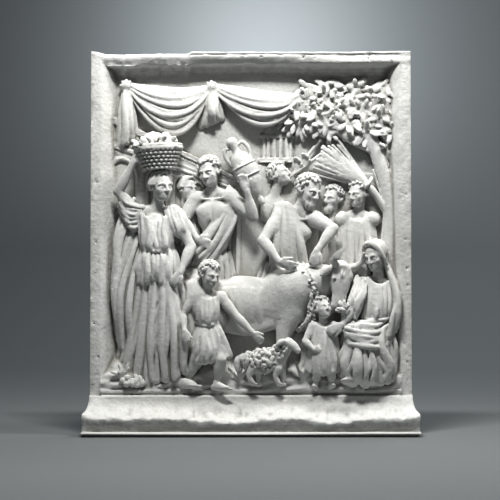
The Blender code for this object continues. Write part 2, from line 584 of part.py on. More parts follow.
def ox(clay, ground, s):
    """A garlanded ox in profile, walking to the viewer's right, its head turned a little out."""
    x0, u0, o0 = ground

    def p(x, up, out):
        return v(x0 + x * s, u0 + up * s, o0 + out * s)

    def egg(x, up, out, radii, blend=6, tilt=0, carve=False):
        clay.egg(p(x, up, out), np.array(radii, float) * s, Place((0, 0, 0), tilt=tilt).axes, blend * s,
            carve)

    def roll(points, radii, blend=3.0, count=None, carve=False):
        clay.roll([p(*q) for q in points], [r * s for r in radii], blend * s, count=count, carve=carve)

    # far legs
    roll([(38, 76, -5), (44, 58, -4), (60, 44, -2)], [13, 10, 6.4], 3)
    roll([(60, 44, -2), (58, 26, -3), (52, 14, -4)], [6.4, 4.4, 4.4], 1.5)
    roll([(52, 14, -4), (53, 9, -3)], [4.6, 5.6], 1)
    roll([(-44, 84, -6), (-38, 60, -5), (-30, 42, -6)], [16, 12, 7], 3)
    roll([(-30, 42, -6), (-36, 34, -6), (-34, 12, -6)], [6, 5.4, 4], 1.5)
    roll([(-34, 12, -6), (-31, 5, -6)], [4.4, 5.6], 1)
    # trunk
    egg(-44, 92, 0, (25, 27, 18), 8, 8)
    egg(-4, 84, 0, (46, 28, 21), 8)
    egg(38, 90, 0, (26, 31, 19), 8, -6)
    egg(40, 114, -2, (20, 12, 10), 8, -12)
    egg(-56, 112, 0, (10, 8, 8), 6)
    for i in range(5):
        roll([(-22 + i * 9, 98, 16.8), (-25 + i * 9, 82, 19.6), (-23 + i * 9, 68, 16)], [0.6, 0.8, 0.4],
            5.0, 10)
    roll([(-62, 104, 12), (-48, 100, 17), (-34, 92, 18)], [3.0, 4.0, 2.4], 5, 10)
    roll([(-34, 68, 10), (-20, 61, 9), (4, 58, 9), (24, 63, 9)], [5, 6, 6, 5], 8, 12)
    # near legs
    roll([(-46, 88, 8), (-38, 70, 12), (-42, 58, 11), (-58, 44, 9)], [20, 16, 11, 6.6], 5, 16)
    roll([(-58, 44, 9), (-60, 34, 9), (-57, 15, 9)], [6.4, 4.8, 4.2], 1.5, 8)
    roll([(-57, 15, 9), (-53, 9, 10)], [4.8, 5.4], 1)
    egg(-52, 4, 10, (7.0, 4.2, 5.6), 1)
    egg(40, 84, 9, (17, 20, 12), 6, -20)
    roll([(44, 74, 11), (38, 58, 11), (36, 40, 10)], [13, 9, 6.6], 4, 12)
    egg(36, 38, 11, (5.6, 6.4, 6.0), 2)
    roll([(36, 36, 10), (35, 26, 10), (34, 14, 9)], [5.6, 4.4, 4.0], 1.5, 8)
    roll([(34, 14, 9), (37, 8, 10)], [4.6, 5.2], 1)
    egg(38, 4, 10, (7.0, 4.2, 5.6), 1)
    # neck, dewlap and chest
    roll([(48, 98, 2), (64, 104, 7), (78, 108, 13)], [27, 21, 15], 8, 12)
    for i in range(5):
        t = i / 4
        roll([(58 + 8 * t, 86 - 6 * t, 14), (66 + 12 * t, 74 - 3 * t, 15 - 2 * t),
            (80 + 5 * t, 86 - 2 * t, 15)], [2.0, 2.4, 1.4], 1.5)
    roll([(52, 82, 4), (66, 68, 5), (84, 80, 9)], [12, 6.5, 6], 6, 12)
    # head
    h = Place(p(90, 107, 20), turn=40, nod=20, tilt=-10, size=s)

    def k(x, up, out):
        return h.at(x, up, out)

    def face(x, up, out, radii, blend=2.0, carve=False):
        clay.egg(k(x, up, out), np.array(radii, float) * s, h.axes, blend * s, carve)

    clay.rods(along([k(0, 9, -2), k(0, 0, 5), k(0, -10, 11), k(0, -19, 15)], 12),
        np.interp(np.linspace(0, 1, 12), [0, 0.3, 0.65, 0.85, 1],
        np.array([11.5, 10.6, 7.4, 7.6, 6.8]) * s), 3 * s, False)
    face(0, 12, -1, (11.5, 6.0, 7.0), 3)
    face(0, -21, 14, (7.6, 4.6, 5.0), 1.5)
    for m in (-1, 1):
        face(8.8 * m, 3.5, 5.0, (3.2, 2.8, 3.0), 1.5)
        face(9.6 * m, 3.2, 6.6, (2.2, 2.0, 2.0), 0.6, True)
        face(9.2 * m, 3.0, 5.4, (1.9, 1.9, 2.0), 0.2)
        face(3.9 * m, -19.5, 19.6, (1.5, 1.7, 1.6), 0.6, True)
        clay.roll([k(11 * m, 10, -2), k(18 * m, 8, -2), k(23 * m, 3, 0)], [2.0 * s, 4.4 * s, 1.4 * s],
            0.8 * s)
        clay.roll([k(8 * m, 15, -1), k(15 * m, 19, 1), k(18 * m, 26, 3), k(14 * m, 35, 5)],
            [3.7 * s, 3.2 * s, 2.3 * s, 1.0 * s], 1.0 * s, count=16)
    clay.cone(k(-5, -22.8, 17.5), k(5, -22.8, 17.5), 0.6 * s, 0.6 * s, 0.5 * s, True)
    rng = np.random.default_rng(5)
    for _ in range(26):
        a = rng.uniform(-1, 1)
        clay.roll([k(5 * a, 15 + rng.uniform(-1, 1), 4), k(7 * a, 10, 9.5),
            k(5.5 * a, rng.uniform(2, 6), 11.2)], [1.5 * s, 1.3 * s, 0.6 * s], 0.4 * s)
    # garland round the neck
    ring = along([p(50, 128, 8), p(62, 110, 26), p(66, 88, 26), p(62, 66, 20), p(52, 58, 10)], 30)
    for i, q in enumerate(ring):
        for j in range(3):
            a = 2.4 * i + j * 2.1
            clay.egg(q + v(math.cos(a) * 3.2, math.sin(a) * 1.2, 1.6 * math.sin(a * 1.7)) * s,
                v(2.9, 1.9, 1.6) * s, Place((0, 0, 0), turn=40 * j, tilt=60 * i).axes, 0.3)
    # tail
    roll([(-66, 108, 2), (-74, 96, 3), (-75, 76, 4), (-71, 58, 6)], [4.0, 2.6, 2.0, 2.2], 1.5, 14)
    for i in range(7):
        roll([(-71, 60, 6), (-73 + i, 50, 5 + i % 3), (-70 + 1.4 * i - 4, 38 + i % 3, 6)],
            [1.8, 2.4, 0.8], 0.5)


def lamb(clay, ground, s, face_right=True):
    x0, u0, o0 = ground
    m = 1 if face_right else -1

    def p(x, up, out):
        return v(x0 + m * x * s, u0 + up * s, o0 + out * s)

    for x, kx in ((-12, -15), (12, 10), (-8, -6), (15, 17)):
        near = 5 if x in (-12, 12) else -2
        clay.roll([p(x, 17, near), p(kx, 10, near), p(x + 1, 2, near)], [4.6 * s, 2.6 * s, 2.0 * s], 1.5 * s)
        clay.egg(p(x + 2, 1.6, near), v(2.8, 1.8, 2.3) * s, blend=0.5 * s)
    clay.egg(p(-2, 24, 0), v(19, 10.5, 10) * s, blend=3 * s)
    clay.roll([p(12, 27, 1), p(18, 34, 3), p(22, 40, 5)], [8.5 * s, 6.4 * s, 5.0 * s], 3 * s)
    clay.roll([p(22, 41, 6), p(27, 38, 8), p(31, 34, 10)], [5.0 * s, 4.0 * s, 2.6 * s], 1.5 * s)
    clay.egg(p(25, 41, 10.5), v(1.1, 1.0, 0.9) * s, blend=0.2)
    clay.roll([p(20, 43, 9), p(15, 42, 12), p(11, 39, 13)], [1.6 * s, 2.6 * s, 1.0 * s], 0.5 * s)
    clay.roll([p(-20, 28, 0), p(-26, 24, 1), p(-26, 16, 2)], [3.2 * s, 3.2 * s, 2.0 * s], 1 * s)
    rng = np.random.default_rng(3)
    for _ in range(170):
        a, b = rng.uniform(0, 2 * math.pi), rng.uniform(-1, 1)
        d = v(math.cos(a) * math.sqrt(1 - b * b), math.sin(a) * math.sqrt(1 - b * b), abs(b))
        q = p(-2, 24, 0) + d * v(19.2, 10.8, 10.4) * s
        clay.egg(q, (rng.uniform(1.7, 2.5) * s,) * 3, blend=0.3 * s)
    for _ in range(60):
        t = rng.uniform(0, 1)
        a = rng.uniform(-1.4, 1.4)
        q = mix(p(10, 27, 1), p(21, 42, 5), t) + v(-math.sin(a) * m * 0.8, math.sin(a) * 0.6,
            math.cos(a)) * (8.4 - 3.4 * t) * s
        clay.egg(q, (rng.uniform(1.5, 2.2) * s,) * 3, blend=0.3 * s)


def leaf(clay, q, way, long, wide, lean):
    way = unit(way)
    side = unit(np.cross(way, (lean * 0.8, 0.3, 1)))
    up = np.cross(way, side)
    clay.egg(q + way * long * 0.5, (long * 0.56, wide * 0.5, 1.3), np.array([way, side, up]), 0.5)


def tree(clay, seed=7):
    trunk = [v(150, 44, 6), v(146, 100, 8), v(138, 160, 8), v(142, 220, 7), v(128, 280, 8), v(108, 330, 7)]
    clay.roll(trunk, [14, 10.5, 9, 8, 7, 5], 3, count=40)
    clay.roll([v(138, 232, 6), v(146, 280, 6), v(142, 330, 6)], [6, 5, 3.5], 3, count=20)
    clay.roll([v(126, 286, 7), v(96, 300, 9), v(66, 322, 9), v(40, 332, 6)], [5.5, 4.5, 3.2, 1.8], 3,
        count=24)
    clay.roll([v(112, 322, 7), v(86, 340, 8), v(60, 352, 6)], [4, 3, 1.6], 2, count=16)
    rng = np.random.default_rng(seed)
    for k in range(-3, 4):
        path = [q + v(k * 2.6 + rng.uniform(-1, 1), 0,
            math.sqrt(max(0, 90 - (k * 2.6) ** 2)) * 0.95 * (1 - i * 0.07))
            for i, q in enumerate(along(trunk, 9))]
        clay.roll(path[: 7], [1.7, 1.2, 1.6, 0.9], 0.9, count=30)
    hubs = [(40, 332, 6), (54, 342, 8), (66, 326, 10), (76, 350, 8), (84, 334, 10), (96, 316, 11),
        (100, 346, 9), (114, 334, 10), (122, 352, 8), (132, 322, 9), (140, 344, 8), (142, 304, 8),
        (116, 306, 10), (62, 356, 6), (134, 362, 6), (106, 362, 6), (82, 364, 6), (48, 320, 7),
        (76, 312, 9), (136, 284, 7)]
    for x, up, out in hubs:
        hub = v(x, min(up, 300 + 0.74 * (up - 300)), out)
        clay.egg(hub - v(0, 0, 3), (13, 11, 6.5), blend=3)
        for _ in range(20):
            a = rng.uniform(0, 2 * math.pi)
            q = math.sqrt(rng.uniform(0, 1))
            at = hub + v(math.cos(a) * 12 * q, math.sin(a) * 10 * q, 4.5 * (1 - q) + rng.uniform(-1.5, 1.5))
            way = v(math.cos(a), math.sin(a) - 0.5, rng.uniform(-0.1, 0.5)) + rng.normal(0, 0.35, 3)
            leaf(clay, at, way, rng.uniform(8.0, 11.5), rng.uniform(4.4, 5.8), rng.uniform(-0.6, 0.6))


def woman(b, s=1.1):
    """A basket bearer striding to the right, seen from the front."""
    c = b.part((-150, 40, -4), (-38, 320, 50))
    hips = [v(-104, 158, 15), v(-84, 158, 17)]
    sh = [v(-116, 220, 15), v(-76, 220, 19)]
    torso(c, hips, sh, s * 0.94, bare=False, female=True)
    at = Place((-90, 249, 24), turn=32, nod=4, tilt=3, size=s)
    head(c, at, "bun")
    neck(c, at, v(-95, 225, 14), s * 0.9)
    leg(c, hips[0] + v(0, 0, -2), v(-110, 106, 16), v(-122, 62, 10), s * 0.92)
    leg(c, hips[1], v(-76, 110, 26), v(-72, 58, 20), s * 0.95)
    foot(c, v(-72, 57, 22), (0.85, 0, 0.5), s)
    foot(c, v(-124, 62, 12), (0.8, -0.45, 0.5), s, 0.2)
    # skirt
    folds(c, [(-108, 188, 16), (-104, 186, 24), (-94, 184, 29), (-84, 186, 26), (-80, 188, 18)],
          [(-134, 66, 4), (-124, 56, 14), (-106, 54, 22), (-90, 56, 26), (-72, 62, 30), (-56, 70, 22),
              (-50, 76, 10)], 12, 1.9, 4.4, bow=(2, 0, 4), wander=1.8, blend=0.9, seed=11)
    limb(c, hips[1] + v(0, -6, 6), v(-76, 112, 31), [8, 8.6, 8.2, 7.0, 6.2], 3.5)
    limb(c, v(-76, 112, 31), v(-71, 74, 27), [6.2, 5.6, 4.6, 3.4], 3.0)
    folds(c, [(-84, 168, 30), (-80, 140, 34), (-77, 120, 36)],
        [(-100, 120, 30), (-98, 96, 28), (-92, 76, 27)], 7, 1.2, 2.2, bow=(-2, -8, 1), blend=1.0,
        seed=12, back=False)
    # blouse and overfold
    folds(c, [(-112, 222, 20), (-104, 216, 27), (-95, 210, 28), (-86, 216, 29), (-79, 221, 24)],
          [(-108, 186, 22), (-101, 184, 29), (-94, 183, 32), (-87, 184, 31),
              (-80, 187, 24)], 9, 1.7, 2.3, bow=(0, -4, 3.0), wander=0.7, blend=1.2, seed=13)
    folds(c, [(-110, 186, 18), (-103, 184, 27), (-94, 182, 31), (-85, 184, 29), (-78, 187, 18)],
          [(-118, 160, 14), (-108, 152, 28), (-94, 156, 33), (-84, 150, 33),
              (-72, 160, 22)], 12, 1.6, 3.0, bow=(0, 2, 3), wander=0.8, blend=0.8, seed=14)
    c.roll([(-109, 187, 20), (-101, 184, 30), (-94, 183, 33.5), (-86, 184, 31), (-78, 188, 20)], [1.7],
        0.6, count=16)
    # raised arm to the basket
    arm(c, sh[0], v(-133, 244, 20), v(-117, 273, 28), s * 0.92)
    hand(c, v(-117, 273, 28), (0.55, 0.8, 0.1), (0.8, -0.55, 0.2), s * 0.95, 0.3)
    folds(c, [(-108, 228, 20), (-115, 216, 22), (-112, 206, 20)],
        [(-129, 239, 22), (-131, 226, 18), (-123, 212, 14)], 6, 1.4, 2.1, bow=(-1, -4, 3), blend=0.8,
        seed=15)
    # lower arm holding the skirt
    arm(c, sh[1], v(-60, 188, 26), v(-70, 162, 37), s * 0.92)
    hand(c, v(-70, 162, 37), (-0.6, -0.8, 0.0), (0.7, -0.5, 0.4), s * 0.95, 0.7)
    folds(c, [(-86, 226, 24), (-76, 228, 25), (-68, 222, 22)],
        [(-78, 202, 28), (-69, 198, 28), (-60, 202, 22)], 7, 1.3, 1.9, bow=(0, 0, 3), blend=0.8,
        seed=16)
    # mantle blown back: it swells out from the shoulder and falls behind her
    folds(c, [(-121, 234, 8), (-113, 228, 12), (-106, 222, 12), (-104, 206, 12)],
          [(-136, 122, 3), (-134, 104, 8), (-128, 88, 11), (-118, 82, 13)], 9, 1.7, 3.4,
          bow=(-9, 8, 7), wander=2.6, blend=0.9, seed=17, steps=16)
    c.roll([(-118, 236, 10), (-131, 214, 12), (-136, 184, 14), (-130, 158, 15), (-136, 132, 12),
        (-134, 112, 8)], [2.0, 3.0, 2.4, 3.0, 2.2], 0.8, count=40)
    basket(c, Place((-92, 267, 22), tilt=3, size=1.0), 15, 23, 18, seed=4)
    b.merge(c, 0.6)


def bearer(b, s=1.05):
    """A youth with a jar on his shoulder, behind the woman and the ox."""
    c = b.part((-84, 120, -4), (36, 340, 44))
    hips = [v(-46, 172, 6), v(-26, 172, 8)]
    sh = [v(-56, 236, 8), v(-20, 238, 12)]
    torso(c, hips, sh, s * 0.96, bare=True)
    at = Place((-42, 264, 14), turn=-28, nod=6, tilt=10, size=s)
    head(c, at, "curls", seed=8)
    neck(c, at, v(-39, 241, 8), s * 0.9)
    arm(c, sh[0], v(-68, 214, 14), v(-54, 196, 22), s)
    hand(c, v(-54, 196, 22), (0.8, -0.4, 0.2), (0.3, 0.9, 0.2), s)
    folds(c, [(-22, 248, 10), (-14, 240, 12), (-12, 230, 12)],
        [(-56, 186, 18), (-50, 176, 20), (-42, 168, 18)], 9, 1.6, 2.3, bow=(3, -3, 5), blend=0.9,
        seed=21)
    folds(c, [(-54, 183, 8), (-46, 180, 15), (-36, 178, 18), (-27, 180, 15), (-22, 183, 7)],
        [(-66, 126, 2), (-52, 124, 7), (-38, 124, 9), (-26, 126, 7), (-14, 130, 2)], 9, 1.5, 3.1,
        bow=(0, 0, 2), seed=22)
    amphora(c, v(11, 233, 18), v(-19, 292, 20), 1.12)
    arm(c, sh[1], v(2, 218, 24), v(-4, 243, 33), s)
    hand(c, v(-4, 243, 33), (-0.3, 0.95, 0.1), (0.95, 0.3, 0), s, 0.2)
    b.merge(c, 0.5)


def drover(b, s=1.08):
    """The ox's keeper, leaning over its back towards its head."""
    c = b.part((-10, 120, -4), (118, 310, 46))
    hips = [v(18, 158, 4), v(38, 158, 4)]
    sh = [v(30, 220, 11), v(64, 216, 15)]
    torso(c, hips, sh, s * 0.98, bare=True)
    at = Place((58, 245, 19), turn=50, nod=14, tilt=-8, size=s)
    head(c, at, "curls", True, seed=9)
    neck(c, at, v(49, 222, 10), s * 0.95)
    folds(c, [(26, 230, 12), (36, 231, 18), (44, 225, 19)],
        [(22, 172, 14), (38, 170, 20), (54, 172, 18)], 7, 1.7, 3.0, bow=(0, 0, 5), blend=0.9, seed=31)
    folds(c, [(14, 172, 8), (26, 168, 17), (38, 168, 19), (52, 172, 14)],
        [(2, 134, 4), (20, 134, 12), (40, 134, 14), (58, 134, 6)], 8, 1.8, 3.2, bow=(0, 0, 2), seed=32)
    arm(c, sh[0], v(12, 194, 24), v(28, 173, 33), s)
    hand(c, v(28, 173, 33), (0.9, -0.35, 0.1), (0.3, 0.8, 0.3), s, 0.3)
    arm(c, sh[1], v(82, 206, 25), v(66, 184, 33), s)
    hand(c, v(66, 184, 33), (-0.3, -0.95, 0.1), (0.9, -0.3, 0.3), s, 0.6)
    b.merge(c, 0.5)


def sheaf_bearer(b, s=0.96):
    """A reaper behind, with a sheaf on the shoulder."""
    c = b.part((62, 136, -4), (150, 330, 36))
    sh = [v(92, 216, 6), v(124, 216, 6)]
    torso(c, [v(98, 160, 2), v(116, 160, 2)], sh, s, bare=False)
    at = Place((108, 242, 9), turn=-42, nod=4, tilt=4, size=s)
    head(c, at, "curls", seed=14)
    neck(c, at, v(109, 220, 4), s * 0.9)
    folds(c, [(92, 222, 8), (104, 214, 13), (112, 214, 13), (122, 222, 8)],
        [(86, 150, 4), (98, 146, 11), (116, 146, 11), (130, 150, 4)], 10, 1.5, 2.6, bow=(0, 0, 3),
        seed=41)
    c.roll([(90, 188, 8), (100, 184, 14), (114, 184, 14), (126, 188, 8)], [1.6], 0.6, count=14)
    rng = np.random.default_rng(42)
    for _ in range(70):
        a = rng.uniform(-1, 1)
        lift = math.sqrt(1 - a * a)
        root = v(136, 226 + 7 * a, 6 + 6 * lift)
        tie = v(118, 250 + 4 * a, 10 + 5 * lift)
        tip = v(80 + rng.uniform(-8, 8) + 6 * a, 276 + 14 * a + rng.uniform(-3, 3), 6 + 6 * lift)
        c.roll([root, tie, tip], [1.2, 1.0, 0.9], 0.2, count=7)
        way = unit(tip - tie)
        for j in range(3):
            c.egg(tip + way * j * 2.2, (1.9, 1.3, 1.3),
                np.array([way, unit(np.cross(way, (0, 0, 1))), (0, 0, 1)]), 0.2)
    c.roll([(112, 244, 10), (117, 250, 17), (122, 257, 10)], [1.8], 0.4)
    b.merge(c, 0.5)


def mother(b, s=1.06):
    """A seated woman at the foot of the tree, turned to the child."""
    c = b.part((70, 40, -4), (158, 215, 54))
    hips = [v(118, 94, 12), v(134, 94, 16)]
    sh = [v(112, 150, 20), v(142, 148, 18)]
    c.egg((132, 68, 6), (26, 24, 18), blend=4)
    torso(c, hips, sh, s * 0.93, bare=False, female=True)
    at = Place((124, 179, 27), turn=-38, nod=10, tilt=8, size=s)
    head(c, at, "veil")
    neck(c, at, v(128, 155, 17), s * 0.9)
    leg(c, hips[1], v(101, 101, 38), v(99, 60, 34), s * 0.92)
    leg(c, hips[0], v(100, 108, 24), v(112, 62, 22), s * 0.9)
    foot(c, v(98, 57, 37), (-0.75, 0, 0.7), s)
    foot(c, v(114, 56, 30), (-0.3, 0, 0.95), s)
    folds(c, [(94, 106, 32), (100, 108, 42), (114, 106, 42), (130, 104, 36), (140, 104, 26)],
          [(90, 62, 28), (100, 56, 40), (116, 53, 40), (134, 55, 32),
              (146, 58, 18)], 10, 2.1, 3.9, bow=(0, 0, 2), wander=1.6, seed=51)
    folds(c, [(134, 124, 26), (137, 112, 29), (138, 100, 30), (138, 90, 28)],
        [(98, 112, 38), (94, 106, 43), (96, 98, 44), (99, 90, 42)], 6, 2.2, 2.8,
          bow=(2, -6, 7), wander=1.2, seed=52, steps=16)
    folds(c, [(117, 156, 27), (123, 150, 31), (131, 149, 31), (140, 154, 25)],
        [(112, 116, 28), (120, 114, 33), (130, 114, 33), (139, 116, 26)], 9, 1.3, 2.0, bow=(0, -4, 4),
        seed=53)
    c.roll([(111, 118, 28), (120, 115, 35), (131, 115, 35), (140, 118, 27)], [1.7], 0.6, count=14)
    # veil falling on the shoulders
    folds(c, [(113, 180, 19), (123, 192, 14), (134, 180, 18)],
        [(102, 146, 16), (124, 144, 8), (150, 132, 10)], 9, 1.7, 2.7, bow=(0, 0, 2), seed=54)
    folds(c, [(133, 174, 24), (139, 162, 25), (142, 150, 22)],
        [(149, 118, 20), (144, 106, 28), (137, 100, 34)], 6, 1.7, 2.6, bow=(4, 0, 5), seed=55, steps=16)
    arm(c, sh[0], v(103, 127, 35), v(90, 110, 42), s * 0.9)
    hand(c, v(90, 110, 42), (-0.85, -0.4, 0.1), (0.4, -0.85, 0.2), s * 0.95, 0.4)
    folds(c, [(106, 158, 24), (114, 151, 31), (111, 142, 30)],
        [(98, 133, 37), (105, 124, 43), (103, 118, 38)], 6, 1.5, 2.3, bow=(0, -2, 3), seed=56)
    b.merge(c, 0.6)


def child(b):
    """A child before the mother, holding leaves up to the ox."""
    c = b.part((48, 40, 0), (112, 150, 56))
    s = 0.66
    hips = [v(68, 78, 28), v(79, 78, 28)]
    sh = [v(62, 108, 31), v(82, 108, 31)]
    torso(c, hips, sh, s, bare=False)
    at = Place((71, 127, 36), turn=28, nod=-14, tilt=4, size=0.80)
    head(c, at, "curls", seed=19)
    neck(c, at, v(72, 110, 30), s)
    leg(c, hips[0], v(66, 64, 34), v(64, 50, 28), s * 0.9)
    leg(c, hips[1], v(80, 64, 36), v(80, 51, 31), s * 0.9)
    foot(c, v(64, 50, 29), (-0.4, 0, 0.9), s)
    foot(c, v(80, 51, 32), (0.5, 0, 0.85), s)
    folds(c, [(63, 110, 34), (72, 106, 39), (82, 110, 34)], [(56, 66, 30), (72, 62, 42), (90, 66, 32)],
        11, 1.2, 2.2, bow=(0, 0, 2), seed=61)
    arm(c, sh[0], v(54, 94, 36), v(62, 86, 42), s)
    hand(c, v(62, 86, 42), (0.9, -0.2, 0.1), (0.2, 0.9, 0.1), s, 0.6)
    arm(c, sh[1], v(91, 106, 39), v(92, 119, 42), s)
    hand(c, v(92, 119, 42), (0.1, 0.98, 0), (0.95, -0.1, 0.2), s, 0.6)
    rng = np.random.default_rng(62)
    for _ in range(14):
        leaf(c, v(92, 126, 42) + rng.normal(0, 1.6, 3),
            (rng.uniform(-1, 1), rng.uniform(0.1, 1), rng.uniform(-0.3, 0.6)), 8, 3.4, 0.3)
    b.merge(c, 0.5)


def boy(b):
    """A boy in a short tunic leading the lamb."""
    c = b.part((-74, 40, 0), (20, 180, 54))
    s = 0.80
    hips = [v(-50, 100, 26), v(-36, 100, 28)]
    sh = [v(-56, 138, 29), v(-30, 137, 32)]
    torso(c, hips, sh, s, bare=False)
    at = Place((-41, 160, 36), turn=38, nod=12, tilt=-6, size=0.92)
    head(c, at, "curls", seed=29)
    neck(c, at, v(-43, 140, 30), s)
    leg(c, hips[0], v(-56, 76, 28), v(-62, 54, 20), s)
    leg(c, hips[1], v(-30, 76, 38), v(-34, 53, 30), s)
    foot(c, v(-62, 55, 22), (0.75, -0.2, 0.6), s, 0.1)
    foot(c, v(-34, 52, 32), (0.8, 0, 0.6), s)
    folds(c, [(-52, 112, 30), (-44, 110, 37), (-34, 112, 35)],
        [(-62, 80, 24), (-48, 74, 40), (-22, 80, 36)], 10, 1.6, 3.0, bow=(0, 0, 3), wander=1.0, seed=71)
    folds(c, [(-54, 140, 33), (-43, 134, 39), (-32, 139, 36)],
        [(-53, 112, 32), (-44, 110, 39), (-34, 112, 36)], 9, 1.1, 1.7, bow=(0, -3, 3), seed=72)
    c.roll([(-55, 112, 30), (-44, 109, 40), (-33, 112, 36)], [1.5], 0.5)
    arm(c, sh[1], v(-14, 118, 36), v(2, 102, 38), s)
    hand(c, v(2, 102, 38), (0.7, -0.7, 0), (0.6, 0.6, 0.2), s, 0.4)
    arm(c, sh[0], v(-68, 120, 30), v(-66, 104, 40), s)
    hand(c, v(-66, 104, 40), (0.2, -0.9, 0.2), (0.9, 0.1, 0.2), s, 0.6)
    b.merge(c, 0.5)


def beasts(b):
    c = b.part((-90, 40, -4), (140, 250, 50))
    ox(c, (-4, 47, 9), 1.0)
    b.merge(c, 1.0)
    c = b.part((-30, 40, 0), (70, 110, 54))
    lamb(c, (14, 49, 31), 1.05)
    b.merge(c, 0.5)


def bystanders(b):
    """Heads in low relief between the nearer figures: a girl, and a boy who plays two pipes."""
    c = b.part((-84, 190, -4), (-44, 290, 30))
    at = Place((-64, 247, 4), turn=40, nod=-4, tilt=-4, size=0.9)
    head(c, at, "bun", seed=81)
    neck(c, at, v(-66, 224, 0), 0.9)
    folds(c, [(-76, 222, 4), (-66, 218, 8), (-56, 222, 4)],
        [(-80, 196, 4), (-66, 192, 8), (-52, 196, 4)], 6, 1.4, 2.2, seed=82)
    b.merge(c, 0.5)
    c = b.part((10, 168, -4), (100, 320, 30))
    at = Place((29, 262, 5), turn=62, nod=-16, tilt=6, size=0.9)
    head(c, at, "curls", seed=83)
    neck(c, at, v(24, 240, 0), 0.9)
    c.egg((22, 226, 0), (16, 16, 8), blend=3)
    for tip in (v(70, 296, 7), v(74, 284, 9)):
        c.roll([at.at(0, -8, 12), tip], [1.0, 1.5], 0.3, count=6)
        c.egg(tip, (2.2, 2.2, 2.2), blend=0.3)
    at = Place((83, 238, 3), turn=-42, nod=6, tilt=-6, size=0.92)
    head(c, at, "curls", True, seed=84)
    neck(c, at, v(82, 214, 0), 0.9)
    c.egg((82, 200, 0), (13, 20, 7), blend=3)
    folds(c, [(74, 212, 5), (82, 208, 8), (90, 212, 5)], [(72, 176, 4), (82, 172, 8), (92, 176, 4)], 6,
        1.4, 2.2, seed=85)
    hand(c, v(44, 266, 8), (0.3, 0.9, 0.2), (0.9, -0.3, 0.2), 0.85, 0.6)
    hand(c, v(52, 270, 8), (0.3, 0.9, 0.2), (0.9, -0.3, 0.2), 0.85, 0.6)
    b.merge(c, 0.5)


def festoon(c, left, right, sag, count, thick, depth):
    """Cloth hung between two ties: rolls that sag more and more, gathered at both ends."""
    left, right = v(*left), v(*right)
    for i in range(count):
        t = i / (count - 1)
        path = []
        for u in np.linspace(0, 1, 9):
            drop = 4 * u * (1 - u) * sag * (0.18 + 0.82 * t)
            lean = 1.5 * math.sin(5 * u + 2 * i)
            swell = depth * math.sin(math.pi * u) * (0.55 + 0.45 * math.sin(math.pi * (0.2 + 0.7 * t)))
            path.append(mix(left, right, u + 0.05 * math.sin(math.pi * u)) + v(lean, -drop + lean * 0.6,
                swell + 1.4 * (i % 2)))
        c.roll(path, [1.3, thick * 0.8, thick, thick * 0.8, 1.3], 0.8, count=40)
        c.roll([q - v(0, -2, 3) for q in path], [1.5, thick * 1.2, thick * 1.3, thick * 1.2, 1.5], 1.5,
            count=24)


def hangings(b):
    """Two festoons of cloth under the top rail, with their loose ends and tassels."""
    c = b.part((-142, 250, -4), (66, 366, 34))
    festoon(c, (-126, 352, 5), (-40, 351, 6), 50, 10, 3.0, 15)
    festoon(c, (-40, 351, 6), (52, 342, 6), 34, 8, 2.9, 14)
    for x, up, long, wide, seed in ((-126, 350, 62, 9, 91), (-40, 349, 38, 10, 92)):
        folds(c, [(x - 2, up, 7), (x, up + 1, 9), (x + 3, up, 7)],
              [(x - wide, up - long, 4), (x, up - long * 0.9, 10),
                  (x + wide, up - long * 0.78, 5)], 5, 1.4, 2.9, bow=(0, 0, 3), wander=1.6, seed=seed)
        c.egg((x, up + 1, 9), (5.0, 5.0, 4.0), blend=0.6)
        for k in range(8):
            a = k * math.pi / 4
            c.egg((x + 4.6 * math.cos(a), up + 1 + 4.6 * math.sin(a), 9), (1.9, 1.9, 1.9), blend=0.3)
    b.merge(c, 0.5)


def smooth_step(low, high, x):
    t = np.clip((x - low) / (high - low), 0, 1)
    return t * t * (3 - 2 * t)


def ridge(low, high, soft, x):
    """One between low and high, falling off softly on both sides."""
    return smooth_step(low - soft, low + soft, x) * (1 - smooth_step(high - soft, high + soft, x))


def arcade(x, up):
    """A long wall with arches, in perspective: it grows smaller towards the right."""
    near, vanish, eye = -150.0, 76.0, 214.0
    k = np.clip((vanish - x) / (vanish - near), 0.05, 1)
    h = (up - eye) / k
    f = np.mod((1 / k - 1) * 4.6, 1.0) - 0.5
    q = np.sqrt((f / 0.31) ** 2 + (np.maximum(h - 50, 0) / 17) ** 2)
    wall = (2.2 + 1.6 * k) * (1 - smooth_step(111, 112.5, h)) * (1 - smooth_step(-16, -8, x))
    wall = wall * smooth_step(120, 150, up)
    opening = -2.6 * (1 - smooth_step(0.92, 1.04, q)) * (h < 70)
    ring = 0.9 * ridge(1.1, 1.28, 0.05, q) * (h > 46)
    pier = 0.8 * ridge(0.42, 0.6, 0.02, np.abs(f)) * (h < 76)
    bands = 1.5 * ridge(78, 83, 0.8, h) + 0.6 * ridge(87, 90, 0.8, h) + 2.2 * ridge(103, 112, 0.8, h)
    teeth = 0.9 * ridge(97, 101, 0.6, h) * (np.mod(f * 8, 1.0) > 0.45)
    bricks = -0.35 * smooth_step(0.6, 0.95, np.cos(h * 1.15)) * (h < 76) * (q > 1.3)
    shape = wall + (opening + ring + pier + bands + teeth + bricks) * (0.45 + 0.55 * k) * (wall > 1.5)
    return np.maximum(shape, 0)


